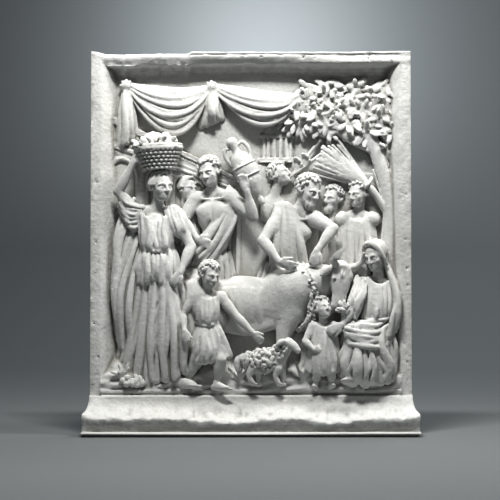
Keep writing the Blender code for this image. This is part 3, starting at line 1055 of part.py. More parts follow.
def rotunda(x, up, middle=27.0, foot=276.0, s=0.82):
    """A small round temple far off: steps, columns, entablature and dome."""
    a, h = (x - middle) / s, (up - foot) / s
    round_ = np.sqrt(np.clip(1 - (a / 21) ** 2, 0, 1))
    drum = 3.2 * round_ * ridge(0, 30, 0.5, h)
    columns = sum(1.5 * np.sqrt(np.clip(1 - ((a - 18 * math.sin(t)) / 2.2) ** 2, 0, 1))
        for t in np.linspace(-1.15, 1.15, 6)) * ridge(3, 27, 0.4, h)
    belt = 4.6 * np.sqrt(np.clip(1 - (a / 23) ** 2, 0, 1)) * ridge(27, 32, 0.5, h)
    steps = 4.8 * np.sqrt(np.clip(1 - (a / 25) ** 2, 0, 1)) * ridge(-3, 3, 0.5, h)
    dome = 4.0 * np.sqrt(np.clip(1 - (a / 18) ** 2 - (np.maximum(h - 31, 0) / 14) ** 2, 0, 1)) * (h > 31)
    knob = 2.0 * np.sqrt(np.clip(1 - (a / 2.6) ** 2 - ((h - 47) / 3) ** 2, 0, 1))
    return np.maximum.reduce([drum + columns, belt, steps, dome, knob])


def hills(x, up):
    line = 262 + 7 * np.sin(x * 0.045 + 1) + 3 * np.sin(x * 0.13)
    far = 1.1 * smooth_step(line + 1.2, line - 1.2, up) * smooth_step(-10, 10, x)
    return far + 0.3 * np.sin(up * 0.22 + 1.5 * np.sin(x * 0.05)) * (up < line)


def ledge(x, up):
    """How far the ground stands out at each height: a step of broken rock."""
    edge = 66 + 3 * np.sin(x * 0.09 + 1) + 2 * np.sin(x * 0.23)
    t = smooth_step(edge + 14, edge - 14, up)
    blocks = np.sin(x * 0.16 + 1.7 * np.sin(up * 0.2)) * np.sin(up * 0.33 + 1.3 * np.sin(x * 0.11))
    layers = np.sin(up * 0.62 + 2.0 * np.sin(x * 0.05)) * np.sin(x * 0.07 + 2)
    return t * (22.5 + 1.3 * blocks + 0.8 * layers)


def ground(b):
    _, (x, up, out) = b.window(b.low, b.low + b.cell * b.shape)
    front = 1.5 + 0.8 * np.sin(x * 0.03 + 1) * np.sin(up * 0.025)
    front = front + np.maximum(hills(x, up), arcade(x, up))
    front = np.maximum(front, 1.5 + rotunda(x, up)) + ledge(x, up)
    b.d = np.minimum(b.d, ((out - front) * 0.85).astype(np.float32))


def foreground(b):
    """Stones, tufts of grass and fallen fruit along the front of the ground."""
    c = b.part((-142, 38, 0), (146, 84, 44))
    rng = np.random.default_rng(101)
    for _ in range(46):
        x, up = rng.uniform(-134, 138), rng.uniform(42, 50)
        r = rng.uniform(3, 8)
        tilt = Place((0, 0, 0), turn=rng.uniform(-40, 40), tilt=rng.uniform(-25, 25))
        c.box((x, up, 17 + rng.uniform(-2, 3)), (r, r * 0.5, r * 0.6), tilt.axes, 1.4, 1.2)
    for x in (-128, -64, -12, 52, 134):
        for k in range(9):
            lean = rng.uniform(-1, 1)
            c.roll([(x + k * 0.8 - 3, 50, 20), (x + lean * 5, 60, 25),
                (x + lean * 12, 66 + rng.uniform(-4, 5), 27)], [1.3, 1.1, 0.5], 0.4, count=8)
    for _ in range(26):
        a, q = rng.uniform(0, math.pi), math.sqrt(rng.uniform(0, 1))
        r = rng.uniform(2.4, 3.6)
        c.egg((-120 + 13 * q * math.cos(a), 50 + 9 * q * math.sin(a), 25 + 3 * (1 - q)), (r, r, r),
            blend=0.25)
    b.merge(c, 0.6)


def hold_feet_in(b, near=28.5, rise=1.4):
    """Keeps toes and hems on the ledge, apart from the foot that the boy sets over its edge."""
    part, (x, up, out) = b.window(b.low, b.low + (300, 24, 60))
    reach = near + 9 * np.exp(-(((x + 22) / 15) ** 4))
    front = (out - reach - rise * (up - 45)) * 0.58
    b.d[part] = -soft_min(-b.d[part], -front.astype(np.float32), 2.0)


def build(cell):
    """The whole carved scene, worked from the back to the front."""
    b = Clay((-150, 38, -4), (150, 370, 54), cell)
    ground(b)
    for layer in (foreground, hangings, tree, bystanders, sheaf_bearer, bearer, drover, beasts, mother,
            child, boy, woman):
        layer(b)
    hold_feet_in(b)
    return b


Y_GROUND = (PLINTH_OUT + LIP_STEP - SLAB) / 2


def world(x, up, out):
    """A design point in metres, with the origin under the middle of the plaque."""
    return (x * MM, (Y_GROUND - out) * MM, up * MM)


def solid(name, points, faces):
    """An object from design points and faces that wind either way round."""
    mesh = bpy.data.meshes.new(name)
    mesh.from_pydata([world(*p) for p in points], [], faces)
    shape = bmesh.new()
    shape.from_mesh(mesh)
    bmesh.ops.recalc_face_normals(shape, faces=shape.faces)
    shape.to_mesh(mesh)
    shape.free()
    obj = bpy.data.objects.new(name, mesh)
    bpy.context.scene.collection.objects.link(obj)
    return obj


def loft(name, levels, back=-SLAB):
    """A stack of rectangles: each level is (up, half width, front), and the back stays flat."""
    points, faces = [], []
    for up, half, front in levels:
        points += [(-half, up, back), (half, up, back), (half, up, front), (-half, up, front)]
    for i in range(len(levels) - 1):
        for j in range(4):
            a, b = 4 * i + j, 4 * i + (j + 1) % 4
            faces.append((a, b, b + 4, a + 4))
    top = 4 * len(levels) - 4
    faces += [(3, 2, 1, 0), (top, top + 1, top + 2, top + 3)]
    return solid(name, points, faces)


def bar(name, section, ends, across):
    """A rail of the frame: its section, drawn in (distance from the edge, out), run between two ends."""
    points = []
    for end in ends:
        points += [across(end, inset, out) for inset, out in section]
    n = len(section)
    faces = [tuple(range(n)), tuple(range(2 * n - 1, n - 1, -1))]
    faces += [(j, (j + 1) % n, (j + 1) % n + n, j + n) for j in range(n)]
    return solid(name, points, faces)


def body():
    """The slab with its plinth, the fillet and the three rails of the frame, each overlapping the next."""
    half = PANEL_WIDTH / 2
    pieces = [loft("slab", plinth_levels() + [(FIELD_FOOT + TUCK, half, 0), (PANEL_HEIGHT, half, 0)])]
    inner, proud, low = half - RAIL_SIDE + LAP / 2, SWEEP_OUT + FILLET_STEP, SWEEP_TOP - TUCK
    pieces.append(loft("fillet", [(low, inner, proud), (low + FILLET, inner, proud)], -SLAB / 2))
    side = [(0, -SLAB / 2), (0, RAIL_OUT), (RAIL_SIDE, RAIL_OUT), (RAIL_SIDE + SIDE_COVE, -SLAB / 2)]
    for sign, name in ((-1, "left_rail"), (1, "right_rail")):
        pieces.append(bar(name, side, (FIELD_FOOT - LAP, PANEL_HEIGHT),
            lambda end, inset, out, s=sign: (s * (half - inset), end, out)))
    crown = [(0, -SLAB / 2), (0, RAIL_OUT)]
    for i in range(COVE_STEPS + 1):
        a = i / COVE_STEPS * math.pi / 2
        crown.append((RAIL_TOP + TOP_COVE * (1 - math.cos(a)),
            (RAIL_OUT + COVE_SUNK) * (1 - math.sin(a)) - COVE_SUNK))
    crown.append((RAIL_TOP + TOP_COVE, -SLAB / 2))
    pieces.append(bar("top_rail", crown, (-half, half),
        lambda end, inset, out: (end, PANEL_HEIGHT - inset, out)))
    return pieces


def front_of(clay):
    """Fills the clay behind its front, and every place where two columns touch by a corner alone."""
    d = clay.d
    for _ in range(12):
        d = np.minimum.accumulate(d[:, :, ::-1], axis=2)[:, :, ::-1].copy()
        a, b, c, e = d[:-1, :-1] < 0, d[1:, :-1] < 0, d[:-1, 1:] < 0, d[1:, 1:] < 0
        one = a & e & ~b & ~c
        two = b & c & ~a & ~e
        if not (one.any() or two.any()):
            break
        d[1:, :-1][one] = -0.4 * clay.cell
        d[:-1, :-1][two] = -0.4 * clay.cell
    clay.d = d


def carving():
    """The relief as a mesh: the front of the clay, solid behind, with few faces."""
    clay = build(CELL)
    front_of(clay)
    clay.d = np.pad(clay.d, 1, constant_values=clay.cell)
    clay.low = clay.low - clay.cell
    points, faces = surface_nets(clay)
    points[:, 0] *= PANEL_WIDTH / DRAWN_WIDTH
    stretch = (PANEL_HEIGHT - FIELD_FOOT) / (DRAWN_TOP - DRAWN_FOOT)
    points[:, 1] = FIELD_FOOT + (points[:, 1] - DRAWN_FOOT) * stretch
    points[:, 2] *= RELIEF_DEPTH
    obj = solid("carving", points, faces.tolist())
    thin = obj.modifiers.new("Decimate", "DECIMATE")
    thin.ratio = RELIEF_FACES / (2 * len(faces))
    return obj


def applied(obj):
    """Bakes the object's modifiers into its mesh."""
    graph = bpy.context.evaluated_depsgraph_get()
    mesh = bpy.data.meshes.new_from_object(obj.evaluated_get(graph))
    obj.modifiers.clear()
    obj.data = mesh


def joined(first, others, solver="EXACT"):
    for other in others:
        union = first.modifiers.new("Join", "BOOLEAN")
        union.operation = "UNION"
        union.object = other
        union.solver = solver
        bpy.context.view_layer.update()
        applied(first)
        bpy.data.objects.remove(other)


def plaster():
    material = bpy.data.materials.new("plaster")
    material.use_nodes = True
    shader = material.node_tree.nodes["Principled BSDF"]
    shader.inputs["Base Color"].default_value = (0.84, 0.84, 0.82, 1)
    shader.inputs["Roughness"].default_value = 0.75
    shader.inputs["Metallic"].default_value = 0.0
    return material


def main():
    for obj in list(bpy.data.objects):
        bpy.data.objects.remove(obj)
    plaque, *rails = body()
    joined(plaque, rails)
    relief = carving()
    bpy.context.view_layer.update()
    applied(relief)
    joined(plaque, [relief], "MANIFOLD")
    plaque.name = plaque.data.name = "relief_plaque"
    plaque.data.materials.clear()
    plaque.data.materials.append(plaster())


main()
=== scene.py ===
"""The relief plaque as a worn white plaster cast, in plain studio light."""
from math import cos, pi, radians, sin, sqrt

import bpy
import numpy as np
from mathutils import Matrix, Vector


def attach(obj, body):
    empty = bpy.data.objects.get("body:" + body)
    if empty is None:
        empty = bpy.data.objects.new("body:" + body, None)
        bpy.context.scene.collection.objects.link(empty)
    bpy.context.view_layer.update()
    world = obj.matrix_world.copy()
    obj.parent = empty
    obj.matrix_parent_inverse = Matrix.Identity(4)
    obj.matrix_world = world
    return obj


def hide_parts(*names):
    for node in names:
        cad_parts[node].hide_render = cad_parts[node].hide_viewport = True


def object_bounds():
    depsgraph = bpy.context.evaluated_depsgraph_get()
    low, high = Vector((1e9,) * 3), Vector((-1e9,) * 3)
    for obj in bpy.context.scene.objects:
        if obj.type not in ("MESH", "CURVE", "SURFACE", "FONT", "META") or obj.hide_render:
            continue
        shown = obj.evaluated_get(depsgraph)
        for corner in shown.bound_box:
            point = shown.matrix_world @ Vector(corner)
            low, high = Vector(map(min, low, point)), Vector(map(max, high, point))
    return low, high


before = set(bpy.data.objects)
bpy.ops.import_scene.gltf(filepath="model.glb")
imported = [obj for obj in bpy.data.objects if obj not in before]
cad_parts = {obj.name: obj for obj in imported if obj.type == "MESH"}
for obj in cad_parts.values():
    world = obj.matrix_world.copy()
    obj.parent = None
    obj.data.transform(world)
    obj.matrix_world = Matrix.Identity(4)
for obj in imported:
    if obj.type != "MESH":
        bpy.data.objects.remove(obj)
CAD_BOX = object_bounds()

MM = 0.001

# The panel and its frame, in millimetres
PANEL_WIDTH = 322.0
PANEL_HEIGHT = 385.0
SLAB = 14.0
RAIL_OUT = 16.0
RAIL_SIDE = 16.0
RAIL_TOP = 13.5

# The plinth, from its foot upwards: heights of its members, then how far they stand out
FOOT = 2.0
LIP = 2.4
PLINTH_FACE = 13.2
SWEEP = 19.2
FILLET = 2.6
FASCIA = 5.6
FOOT_STEP = 3.0
LIP_STEP = 0.8
PLINTH_OUT = 38.0
FACE_LEAN = 3.2
SWEEP_OUT = 18.5
SWEEP_HOLLOW = 0.5
TUCK = 0.3
FASCIA_OUT = 16.4
PLINTH_FLARE = 5.5

# The relief: its depth, and how finely it is modelled here
RELIEF_DEPTH = 0.68
CELL = 0.8
SURFACE_FACES = 190000


SWEEP_TOP = FOOT + LIP + PLINTH_FACE + SWEEP
FIELD_FOOT = SWEEP_TOP + FILLET + FASCIA


def plinth_levels(steps=14):
    """The base from its foot up to the relief: (up, half width, front) at each level."""
    half = PANEL_WIDTH / 2
    wide = half + PLINTH_FLARE
    face_top = FOOT + LIP + PLINTH_FACE
    flare_low = face_top + 0.3 * SWEEP
    flare_top = SWEEP_TOP + FILLET

    def width(up):
        t = min(max((flare_top - up) / (flare_top - flare_low), 0.0), 1.0)
        return wide - PLINTH_FLARE * sqrt(1 - t * t)

    lip, front = wide + LIP_STEP, PLINTH_OUT + LIP_STEP
    levels = [(0.0, lip - FOOT_STEP, front - FOOT_STEP), (FOOT - TUCK, lip - FOOT_STEP, front - FOOT_STEP),
              (FOOT, lip, front), (FOOT + LIP, lip, front), (FOOT + LIP + 0.4, wide, PLINTH_OUT - FACE_LEAN),
              (face_top, wide, PLINTH_OUT)]
    for i in range(1, steps + 1):
        t = i / steps
        a = (1 - t) * pi / 2
        rise = mix(t, 1 - sin(a), SWEEP_HOLLOW)
        back = mix(t, cos(a), SWEEP_HOLLOW)
        up = face_top + SWEEP * rise
        levels.append((up, width(up), PLINTH_OUT - (PLINTH_OUT - SWEEP_OUT) * back))
    levels.append((flare_top, half, FASCIA_OUT + 0.5))
    levels.append((FIELD_FOOT, half, FASCIA_OUT))
    return levels


FAR = 50.0


def soft_min(a, b, blend):
    """The lower of two distances, rounded where they meet."""
    if blend <= 0:
        return np.minimum(a, b)
    near = np.maximum(blend - np.abs(a - b), 0) / blend
    return np.minimum(a, b) - near * near * blend * 0.25


def unit(v):
    v = np.asarray(v, float)
    return v / max(np.linalg.norm(v), 1e-9)


def curve(points, shares):
    """A smooth curve through the points, read at each share of its way."""
    p = np.asarray(points, float)
    shares = np.asarray(shares, float)
    if len(p) == 2:
        return p[0] * (1 - shares[:, None]) + p[1] * shares[:, None]
    p = np.vstack([2 * p[0] - p[1], p, 2 * p[-1] - p[-2]])
    s = shares * (len(p) - 3)
    i = np.minimum(s.astype(int), len(p) - 4)
    t = (s - i)[:, None]
    a, b, c, d = p[i], p[i + 1], p[i + 2], p[i + 3]
    return 0.5 * (2 * b + (c - a) * t + (2 * a - 5 * b + 4 * c - d) * t**2 + (3 * b - a - 3 * c + d) * t**3)


def along(points, count):
    return curve(points, np.linspace(0, 1, count))


class Place:
    """Where a form sits: its origin, its size and its three axes (right, up, out)."""

    def __init__(self, origin, turn=0.0, nod=0.0, tilt=0.0, size=1.0):
        self.origin, self.size = np.asarray(origin, float), size
        a, b, c = radians(turn), radians(nod), radians(tilt)
        yaw = np.array([[cos(a), 0, sin(a)], [0, 1, 0], [-sin(a), 0, cos(a)]])
        pitch = np.array([[1, 0, 0], [0, cos(b), -sin(b)], [0, sin(b), cos(b)]])
        roll = np.array([[cos(c), -sin(c), 0], [sin(c), cos(c), 0], [0, 0, 1]])
        self.axes = (roll @ yaw @ pitch).T

    def at(self, x, up, out):
        return self.origin + self.size * (np.array([x, up, out], float) @ self.axes)


LEVEL = np.eye(3)


class Clay:
    """A block of modelling clay: signed distances to its surface, on a grid, in millimetres."""

    def __init__(self, low, high, cell):
        self.low, self.cell = np.array(low, float), cell
        self.shape = np.ceil((np.array(high, float) - self.low) / cell).astype(int) + 1
        self.d = np.full(self.shape, FAR, np.float32)

    def window(self, low, high):
        first = np.clip(np.floor((np.asarray(low) - self.low) / self.cell).astype(int), 0, self.shape)
        last = np.clip(np.ceil((np.asarray(high) - self.low) / self.cell).astype(int) + 1, 0, self.shape)
        part = tuple(slice(a, b) for a, b in zip(first, last))
        axes = [(self.low[i] + self.cell * np.arange(first[i], last[i])).astype(np.float32) for i in range(3)]
        return part, np.meshgrid(*axes, indexing="ij", sparse=True)

    def press(self, low, high, measure, blend, carve):
        margin = blend + 2 * self.cell
        part, (x, up, out) = self.window(np.asarray(low) - margin, np.asarray(high) + margin)
        old = self.d[part]
        if old.size == 0:
            return
        new = measure(x, up, out)
        self.d[part] = -soft_min(-old, new, blend) if carve else soft_min(old, new, blend)

    def cone(self, a, b, ra, rb=None, blend=1.0, carve=False):
        """A rod with round ends, from radius ra to rb."""
        self.rods(np.array([a, b], float), [ra, ra if rb is None else rb], blend, carve)

    def roll(self, path, radii, blend=1.0, carve=False, count=None):
        """A roll of clay laid along a smooth path, its radius read off the list."""
        count = count or 6 * (len(path) - 1)
        points = along(path, count)
        radii = list(radii) * 2 if len(radii) == 1 else radii
        r = np.maximum(along(np.reshape(radii, (-1, 1)), count)[:, 0], 0.3)
        self.rods(points, r, blend, carve)

    def rods(self, points, r, blend, carve):
        """Round rods from point to point, made into one form before it is pressed on."""
        r = np.asarray(r, float)
        margin = max(blend, 0) + 2 * self.cell
        low = (points - r[:, None]).min(0) - margin
        high = (points + r[:, None]).max(0) + margin
        part, _ = self.window(low, high)
        old = self.d[part]
        if old.size == 0:
            return
        form = Clay.__new__(Clay)
        form.cell, form.shape = self.cell, np.array(old.shape)
        form.low = self.low + self.cell * np.array([p.start for p in part])
        form.d = np.full(old.shape, FAR, np.float32)
        for a, b, ra, rb in zip(points[:-1], points[1:], r[:-1], r[1:]):
            here, (x, up, out) = form.window(np.minimum(a - ra, b - rb) - margin,
                np.maximum(a + ra, b + rb) + margin)
            ab = b - a
            px, pu, po = x - a[0], up - a[1], out - a[2]
            t = np.clip((px * ab[0] + pu * ab[1] + po * ab[2]) / max(float(ab @ ab), 1e-6), 0, 1)
            away = np.sqrt((px - t * ab[0]) ** 2 + (pu - t * ab[1]) ** 2 + (po - t * ab[2]) ** 2)
            away = away - (ra + t * (rb - ra))
            form.d[here] = np.minimum(form.d[here], away)
        self.d[part] = -soft_min(-old, form.d, blend) if carve else soft_min(old, form.d, blend)

    def egg(self, centre, radii, axes=LEVEL, blend=1.0, carve=False):
        c, r = np.asarray(centre, float), np.asarray(radii, float)
        reach = np.sqrt(((np.asarray(axes) * r[:, None]) ** 2).sum(0))

        def measure(x, up, out):
            p = [(x - c[0]) * a[0] + (up - c[1]) * a[1] + (out - c[2]) * a[2] for a in axes]
            k0 = np.sqrt(sum((q / s) ** 2 for q, s in zip(p, r)))
            k1 = np.sqrt(sum((q / s**2) ** 2 for q, s in zip(p, r)))
            return k0 * (k0 - 1) / np.maximum(k1, 1e-6)

        self.press(c - reach, c + reach, measure, blend, carve)

    def box(self, centre, half, axes, rounding, blend):
        c, h = np.asarray(centre, float), np.asarray(half, float)
        reach = (np.abs(np.asarray(axes)) * h[:, None]).sum(0)

        def measure(x, up, out):
            q = [np.abs((x - c[0]) * a[0] + (up - c[1]) * a[1] + (out - c[2]) * a[2]) - s + rounding
                 for a, s in zip(axes, h)]
            outside = np.sqrt(sum(np.maximum(v, 0) ** 2 for v in q))
            return outside + np.minimum(np.maximum(np.maximum(q[0], q[1]), q[2]), 0) - rounding

        self.press(c - reach, c + reach, measure, blend, False)

    def merge(self, other, blend=0.5):
        """Joins another block, made on the same grid, to this one."""
        first = np.round((other.low - self.low) / self.cell).astype(int)
        a = np.maximum(first, 0)
        b = np.minimum(first + other.shape, self.shape)
        here = tuple(slice(i, j) for i, j in zip(a, b))
        there = tuple(slice(i - f, j - f) for i, j, f in zip(a, b, first))
        self.d[here] = soft_min(self.d[here], other.d[there], blend)

    def part(self, low, high):
        """An empty block on this one's grid, over a smaller region."""
        first = np.floor((np.asarray(low, float) - self.low) / self.cell)
        corner = self.low + first * self.cell
        return Clay(corner, high, self.cell)


def surface_nets(block):
    """The surface of a block as points and four-cornered faces: one point in each cell that it crosses."""
    d = block.d
    inside = d < 0
    n = np.array(d.shape) - 1
    corners = [(i, j, k) for i in (0, 1) for j in (0, 1) for k in (0, 1)]

    def shifted(a, c):
        return a[c[0]:c[0] + n[0], c[1]:c[1] + n[1], c[2]:c[2] + n[2]]

    total = np.zeros(n, np.uint8)
    for c in corners:
        total += shifted(inside, c)
    cells = np.argwhere((total > 0) & (total < 8))
    index = np.full(n, -1, np.int32)
    index[tuple(cells.T)] = np.arange(len(cells))
    value = {c: d[tuple((cells + c).T)] for c in corners}
    place = np.zeros((len(cells), 3))
    hits = np.zeros(len(cells))
    for a in corners:
        for axis in range(3):
            if a[axis]:
                continue
            b = tuple(1 if i == axis else a[i] for i in range(3))
            va, vb = value[a], value[b]
            cross = (va < 0) != (vb < 0)
            t = np.where(cross, va / np.where(cross, va - vb, 1), 0)
            point = np.tile(np.array(a, float), (len(cells), 1))
            point[:, axis] = t
            place += point * cross[:, None]
            hits += cross
    points = block.low + block.cell * (cells + place / hits[:, None])
    faces = []
    for axis in range(3):
        u, w = (axis + 1) % 3, (axis + 2) % 3
        a = [slice(None)] * 3
        b = [slice(None)] * 3
        a[axis], b[axis] = slice(0, -1), slice(1, None)
        change = inside[tuple(a)].astype(np.int8) - inside[tuple(b)]
        inner = [slice(None)] * 3
        inner[u] = inner[w] = slice(1, -1)
        change = change[tuple(inner)]
        for sign in (1, -1):
            at = np.argwhere(change == sign)
            at[:, u] += 1
            at[:, w] += 1
            loop = []
            for du, dw in ((-1, -1), (0, -1), (0, 0), (-1, 0)):
                q = at.copy()
                q[:, u] += du
                q[:, w] += dw
                loop.append(index[tuple(q.T)])
            quad = np.stack(loop, 1)
            faces.append(quad if sign > 0 else quad[:, ::-1])
    return points, np.concatenate(faces)


def v(*p):
    return np.array(p, float)


def mix(a, b, t):
    return np.asarray(a, float) * (1 - t) + np.asarray(b, float) * t


def limb(clay, a, b, radii, blend):
    """A length of arm or leg: evenly spaced radii from joint to joint."""
    clay.roll([a, mix(a, b, 0.5), b], radii, blend, count=20)


def arm(clay, shoulder, elbow, wrist, s):
    clay.egg(shoulder, (7.4 * s,) * 3, blend=3 * s)
    limb(clay, shoulder, elbow, v(7.2, 7.0, 6.9, 6.2, 5.2, 4.9) * s, 2.0 * s)
    limb(clay, elbow, wrist, v(4.8, 5.4, 5.3, 4.6, 3.7, 3.1, 3.2) * s, 1.2 * s)


def hand(clay, wrist, way, side, s, curl=0.35):
    """Way runs along the hand and side across its knuckles; the fingers curl away from its back."""
    way, side = unit(way), unit(side)
    back = unit(np.cross(way, side))
    wrist = np.asarray(wrist, float)
    palm = wrist + way * 5.2 * s
    clay.egg(palm, (6.0 * s, 4.4 * s, 2.5 * s), np.array([way, side, back]), 1.6 * s)
    for i in range(4):
        root = wrist + way * 8.6 * s + side * (i - 1.5) * 2.1 * s
        reach = (8.0, 8.8, 8.2, 6.4)[i] * s
        knuckle = root + way * reach * 0.5 - back * curl * 2.0 * s
        tip = knuckle + way * reach * 0.5 * (1 - curl) - back * curl * 5.0 * s
        clay.cone(root, knuckle, 1.45 * s, 1.3 * s, 0.5 * s)
        clay.cone(knuckle, tip, 1.3 * s, 1.0 * s, 0.5 * s)
    thumb = wrist + way * 3.5 * s + side * 4.0 * s
    clay.cone(thumb, thumb + way * 6.2 * s + side * 2.4 * s - back * 2 * s, 1.7 * s, 1.2 * s, 0.8 * s)


def reach(clay, shoulder, elbow, wrist, way, side, s, curl=0.35, palm=None):
    """An arm and the hand at its wrist."""
    arm(clay, shoulder, elbow, wrist, s)
    hand(clay, wrist, way, side, palm or s, curl)


def leg(clay, hip, knee, ankle, s):
    hip, knee, ankle = (np.asarray(p, float) for p in (hip, knee, ankle))
    limb(clay, hip, knee, v(11.6, 12.0, 11.4, 10.2, 8.8, 7.6, 7.2) * s, 3 * s)
    limb(clay, knee, ankle, v(7.0, 7.2, 7.5, 7.0, 5.8, 4.6, 4.0, 4.1) * s, 1.5 * s)
    clay.egg(knee + v(0, 0, 1.6) * s, (5.0 * s, 5.6 * s, 6.0 * s), blend=2.0 * s)


def foot(clay, ankle, way, s, rise=0.0):
    """A bare foot: way runs from heel to toes, level; rise lifts the heel."""
    way = unit(way)
    ankle = np.asarray(ankle, float)
    side = unit(np.cross(way, (0, 1, 0)))
    heel = ankle - way * 4.5 * s - v(0, 5.2, 0) * s
    ball = ankle + way * 15.0 * s - v(0, 7.0 + 10 * rise, 0) * s
    clay.cone(heel, ball, 3.9 * s, 3.0 * s, 1.5 * s)
    clay.cone(ankle - v(0, 1, 0) * s, ball + v(0, 0.6, 0) * s, 4.2 * s, 3.0 * s, 3 * s)
    for i in range(5):
        root = ball + side * (i - 2) * 1.75 * s
        tip = root + way * (6.2 - 0.7 * i) * s - v(0, 0.6, 0) * s
        clay.cone(root, tip, 1.75 * s, 1.35 * s, 0.5 * s)


def head(clay, at, hair, beard, seed):
    s = at.size

    def egg(x, up, out, radii, blend=1.0, carve=False):
        clay.egg(at.at(x, up, out), np.array(radii, float) * s, at.axes, blend * s, carve)

    def bar(p, q, ra, rb=None, blend=0.6, carve=False):
        clay.cone(at.at(*p), at.at(*q), ra * s, (rb or ra) * s, blend * s, carve)

    egg(0, 3.2, -2.0, (9.0, 10.3, 11.2))
    egg(0, -4.0, 2.6, (7.4, 9.6, 8.0), 3)
    egg(0, -8.8, 3.4, (5.4, 4.6, 5.6), 2.5)
    egg(0, -11.2, 8.0, (2.4, 2.1, 2.1), 2)
    for k in (-1, 1):
        egg(4.9 * k, -3.6, 6.6, (2.6, 2.4, 2.4), 2)
        egg(3.5 * k, -0.9, 11.0, (2.7, 1.7, 2.3), 1.6, True)
        egg(3.5 * k, -1.1, 7.9, (2.2, 1.5, 1.9), 0.5)
        bar((1.9 * k, -0.2, 9.7), (5.3 * k, -0.6, 8.4), 0.42, None, 0.4)
        bar((1.5 * k, 1.5, 9.8), (3.8 * k, 2.0, 9.2), 0.7, 0.7, 1.4)
        bar((3.8 * k, 2.0, 9.2), (6.2 * k, 1.1, 7.4), 0.7, 0.5, 1.4)
        egg(1.4 * k, -4.7, 10.9, (1.1, 1.0, 1.3), 0.5)
        egg(8.6 * k, -1.4, -0.8, (1.4, 3.3, 2.2), 0.4)
        egg(9.9 * k, -0.8, -0.2, (1.0, 1.9, 1.1), 0.4, True)
    bar((0, 1.2, 9.6), (0, -4.2, 12.3), 1.0, 1.4, 1.0)
    bar((-2.0, -7.5, 9.7), (2.0, -7.5, 9.7), 0.7, None, 0.9)
    bar((-1.4, -9.0, 9.6), (1.4, -9.0, 9.6), 0.8, None, 0.9)
    bar((-2.3, -8.2, 10.7), (2.3, -8.2, 10.7), 0.3, None, 0.3, True)
    rng = np.random.default_rng(seed)
    if hair == "curls":
        curls(clay, at, rng)
    elif hair == "bun":
        strands(clay, at)
    elif hair == "veil":
        veil(clay, at)
    if beard:
        for _ in range(26):
            a = rng.uniform(-1, 1)
            root = (5.6 * a, -7.5 - 2.2 * (1 - a * a) + rng.uniform(-1, 1), 9.2 - 5.0 * a * a)
            tip = (root[0] * 0.55 + rng.uniform(-1, 1), root[1] - rng.uniform(5, 8),
                root[2] + rng.uniform(-0.5, 1.0))
            bend = (root[0] * 0.9 + rng.uniform(-1.2, 1.2), (root[1] + tip[1]) / 2, root[2] + 1.2)
            clay.roll([at.at(*root), at.at(*bend), at.at(*tip)], v(1.2, 1.1, 0.5) * s, 0.35 * s)


def curls(clay, at, rng, count=150):
    """Short hair: hooked locks over the skull, clear of the face."""
    s = at.size
    for i in range(count):
        up = 1 - 2 * (i + 0.5) / count
        a = i * pi * (3 - sqrt(5))
        ring = sqrt(1 - up * up)
        d = v(ring * sin(a), up, ring * cos(a))
        if d[1] < -0.42 or (d[2] > 0.42 and d[1] < 0.62) or (d[2] > -0.1 and d[1] < 0.12):
            continue
        root = v(0, 3.2, -2.0) + d * v(9.2, 10.6, 11.4)
        swirl = unit(np.cross(d, rng.normal(size=3)))
        fall = v(0, -1, 0) - d * -d[1]
        tip = root + swirl * 2.4 + fall * 2.4
        bend = root + d * 1.2 + swirl * 0.4 + fall * 1.4
        clay.roll([at.at(*root), at.at(*bend), at.at(*tip)], v(1.5, 1.45, 0.8) * s, 0.35 * s, count=4)


def strands(clay, at, rows=9):
    """Long hair waved back from a parting to a knot at the nape."""
    s = at.size
    knot = v(0, 0.5, -14.5)
    for k in (-1, 1):
        for i in range(rows):
            t = i / (rows - 1)
            front = v(k * (0.6 + 7.8 * t), 12.6 - 11.0 * t**1.6, 7.0 - 4.4 * t)
            side = v(k * (4.0 + 6.2 * sin(1.4 * t + 0.15)), 12.0 - 11.5 * t, -3.5)
            wave = [front, mix(front, side, 0.5) + v(k * 1.4, 0.5, 0.6), side,
                mix(side, knot, 0.55) + v(k * 2.6, 1.2, 0), knot]
            clay.roll([at.at(*p) for p in wave], v(1.3, 1.5, 1.5, 1.3) * s, 0.4 * s, count=12)
    clay.egg(at.at(*knot), (5.2 * s, 5.2 * s, 4.2 * s), at.axes, 0.8 * s)
    for i in range(6):
        a = i * pi / 3
        ring = v(cos(a) * 3.6, sin(a) * 3.6, -2.0)
        clay.egg(at.at(*(knot + ring)), (1.9 * s,) * 3, blend=0.5 * s)


def veil(clay, at):
    """A cloth drawn over the head, its edge framing the face."""
    s = at.size
    clay.egg(at.at(0, 3.4, -3.6), np.array((10.6, 11.8, 12.0)) * s, at.axes, 1.5 * s)
    edge = [(-9.4, -10, -1), (-10.0, 0, 2.2), (-6.6, 10.4, 5.4), (0, 14.2, 6.6), (6.6, 10.4, 5.4),
        (10.0, 0, 2.2), (9.4, -10, -1)]
    clay.roll([at.at(*p) for p in edge], [1.5 * s], 0.8 * s)
    inner = [(x * 0.86, u - 0.6, o + 1.2) for x, u, o in edge[1:-1]]
    clay.roll([at.at(*p) for p in inner], [1.0 * s], 0.5 * s)


def neck(clay, at, base, s):
    clay.cone(at.at(0, -6.5, -3.2), base, 5.4 * s, 6.4 * s, 2.5 * s)


def head_on(clay, origin, angles, size, base, wide, hair="curls", beard=False, seed=0):
    """A head, turned, nodding and tilted by its angles, on a neck that ends at its base."""
    at = Place(origin, *angles, size)
    head(clay, at, hair, beard, seed)
    neck(clay, at, base, wide)
    return at


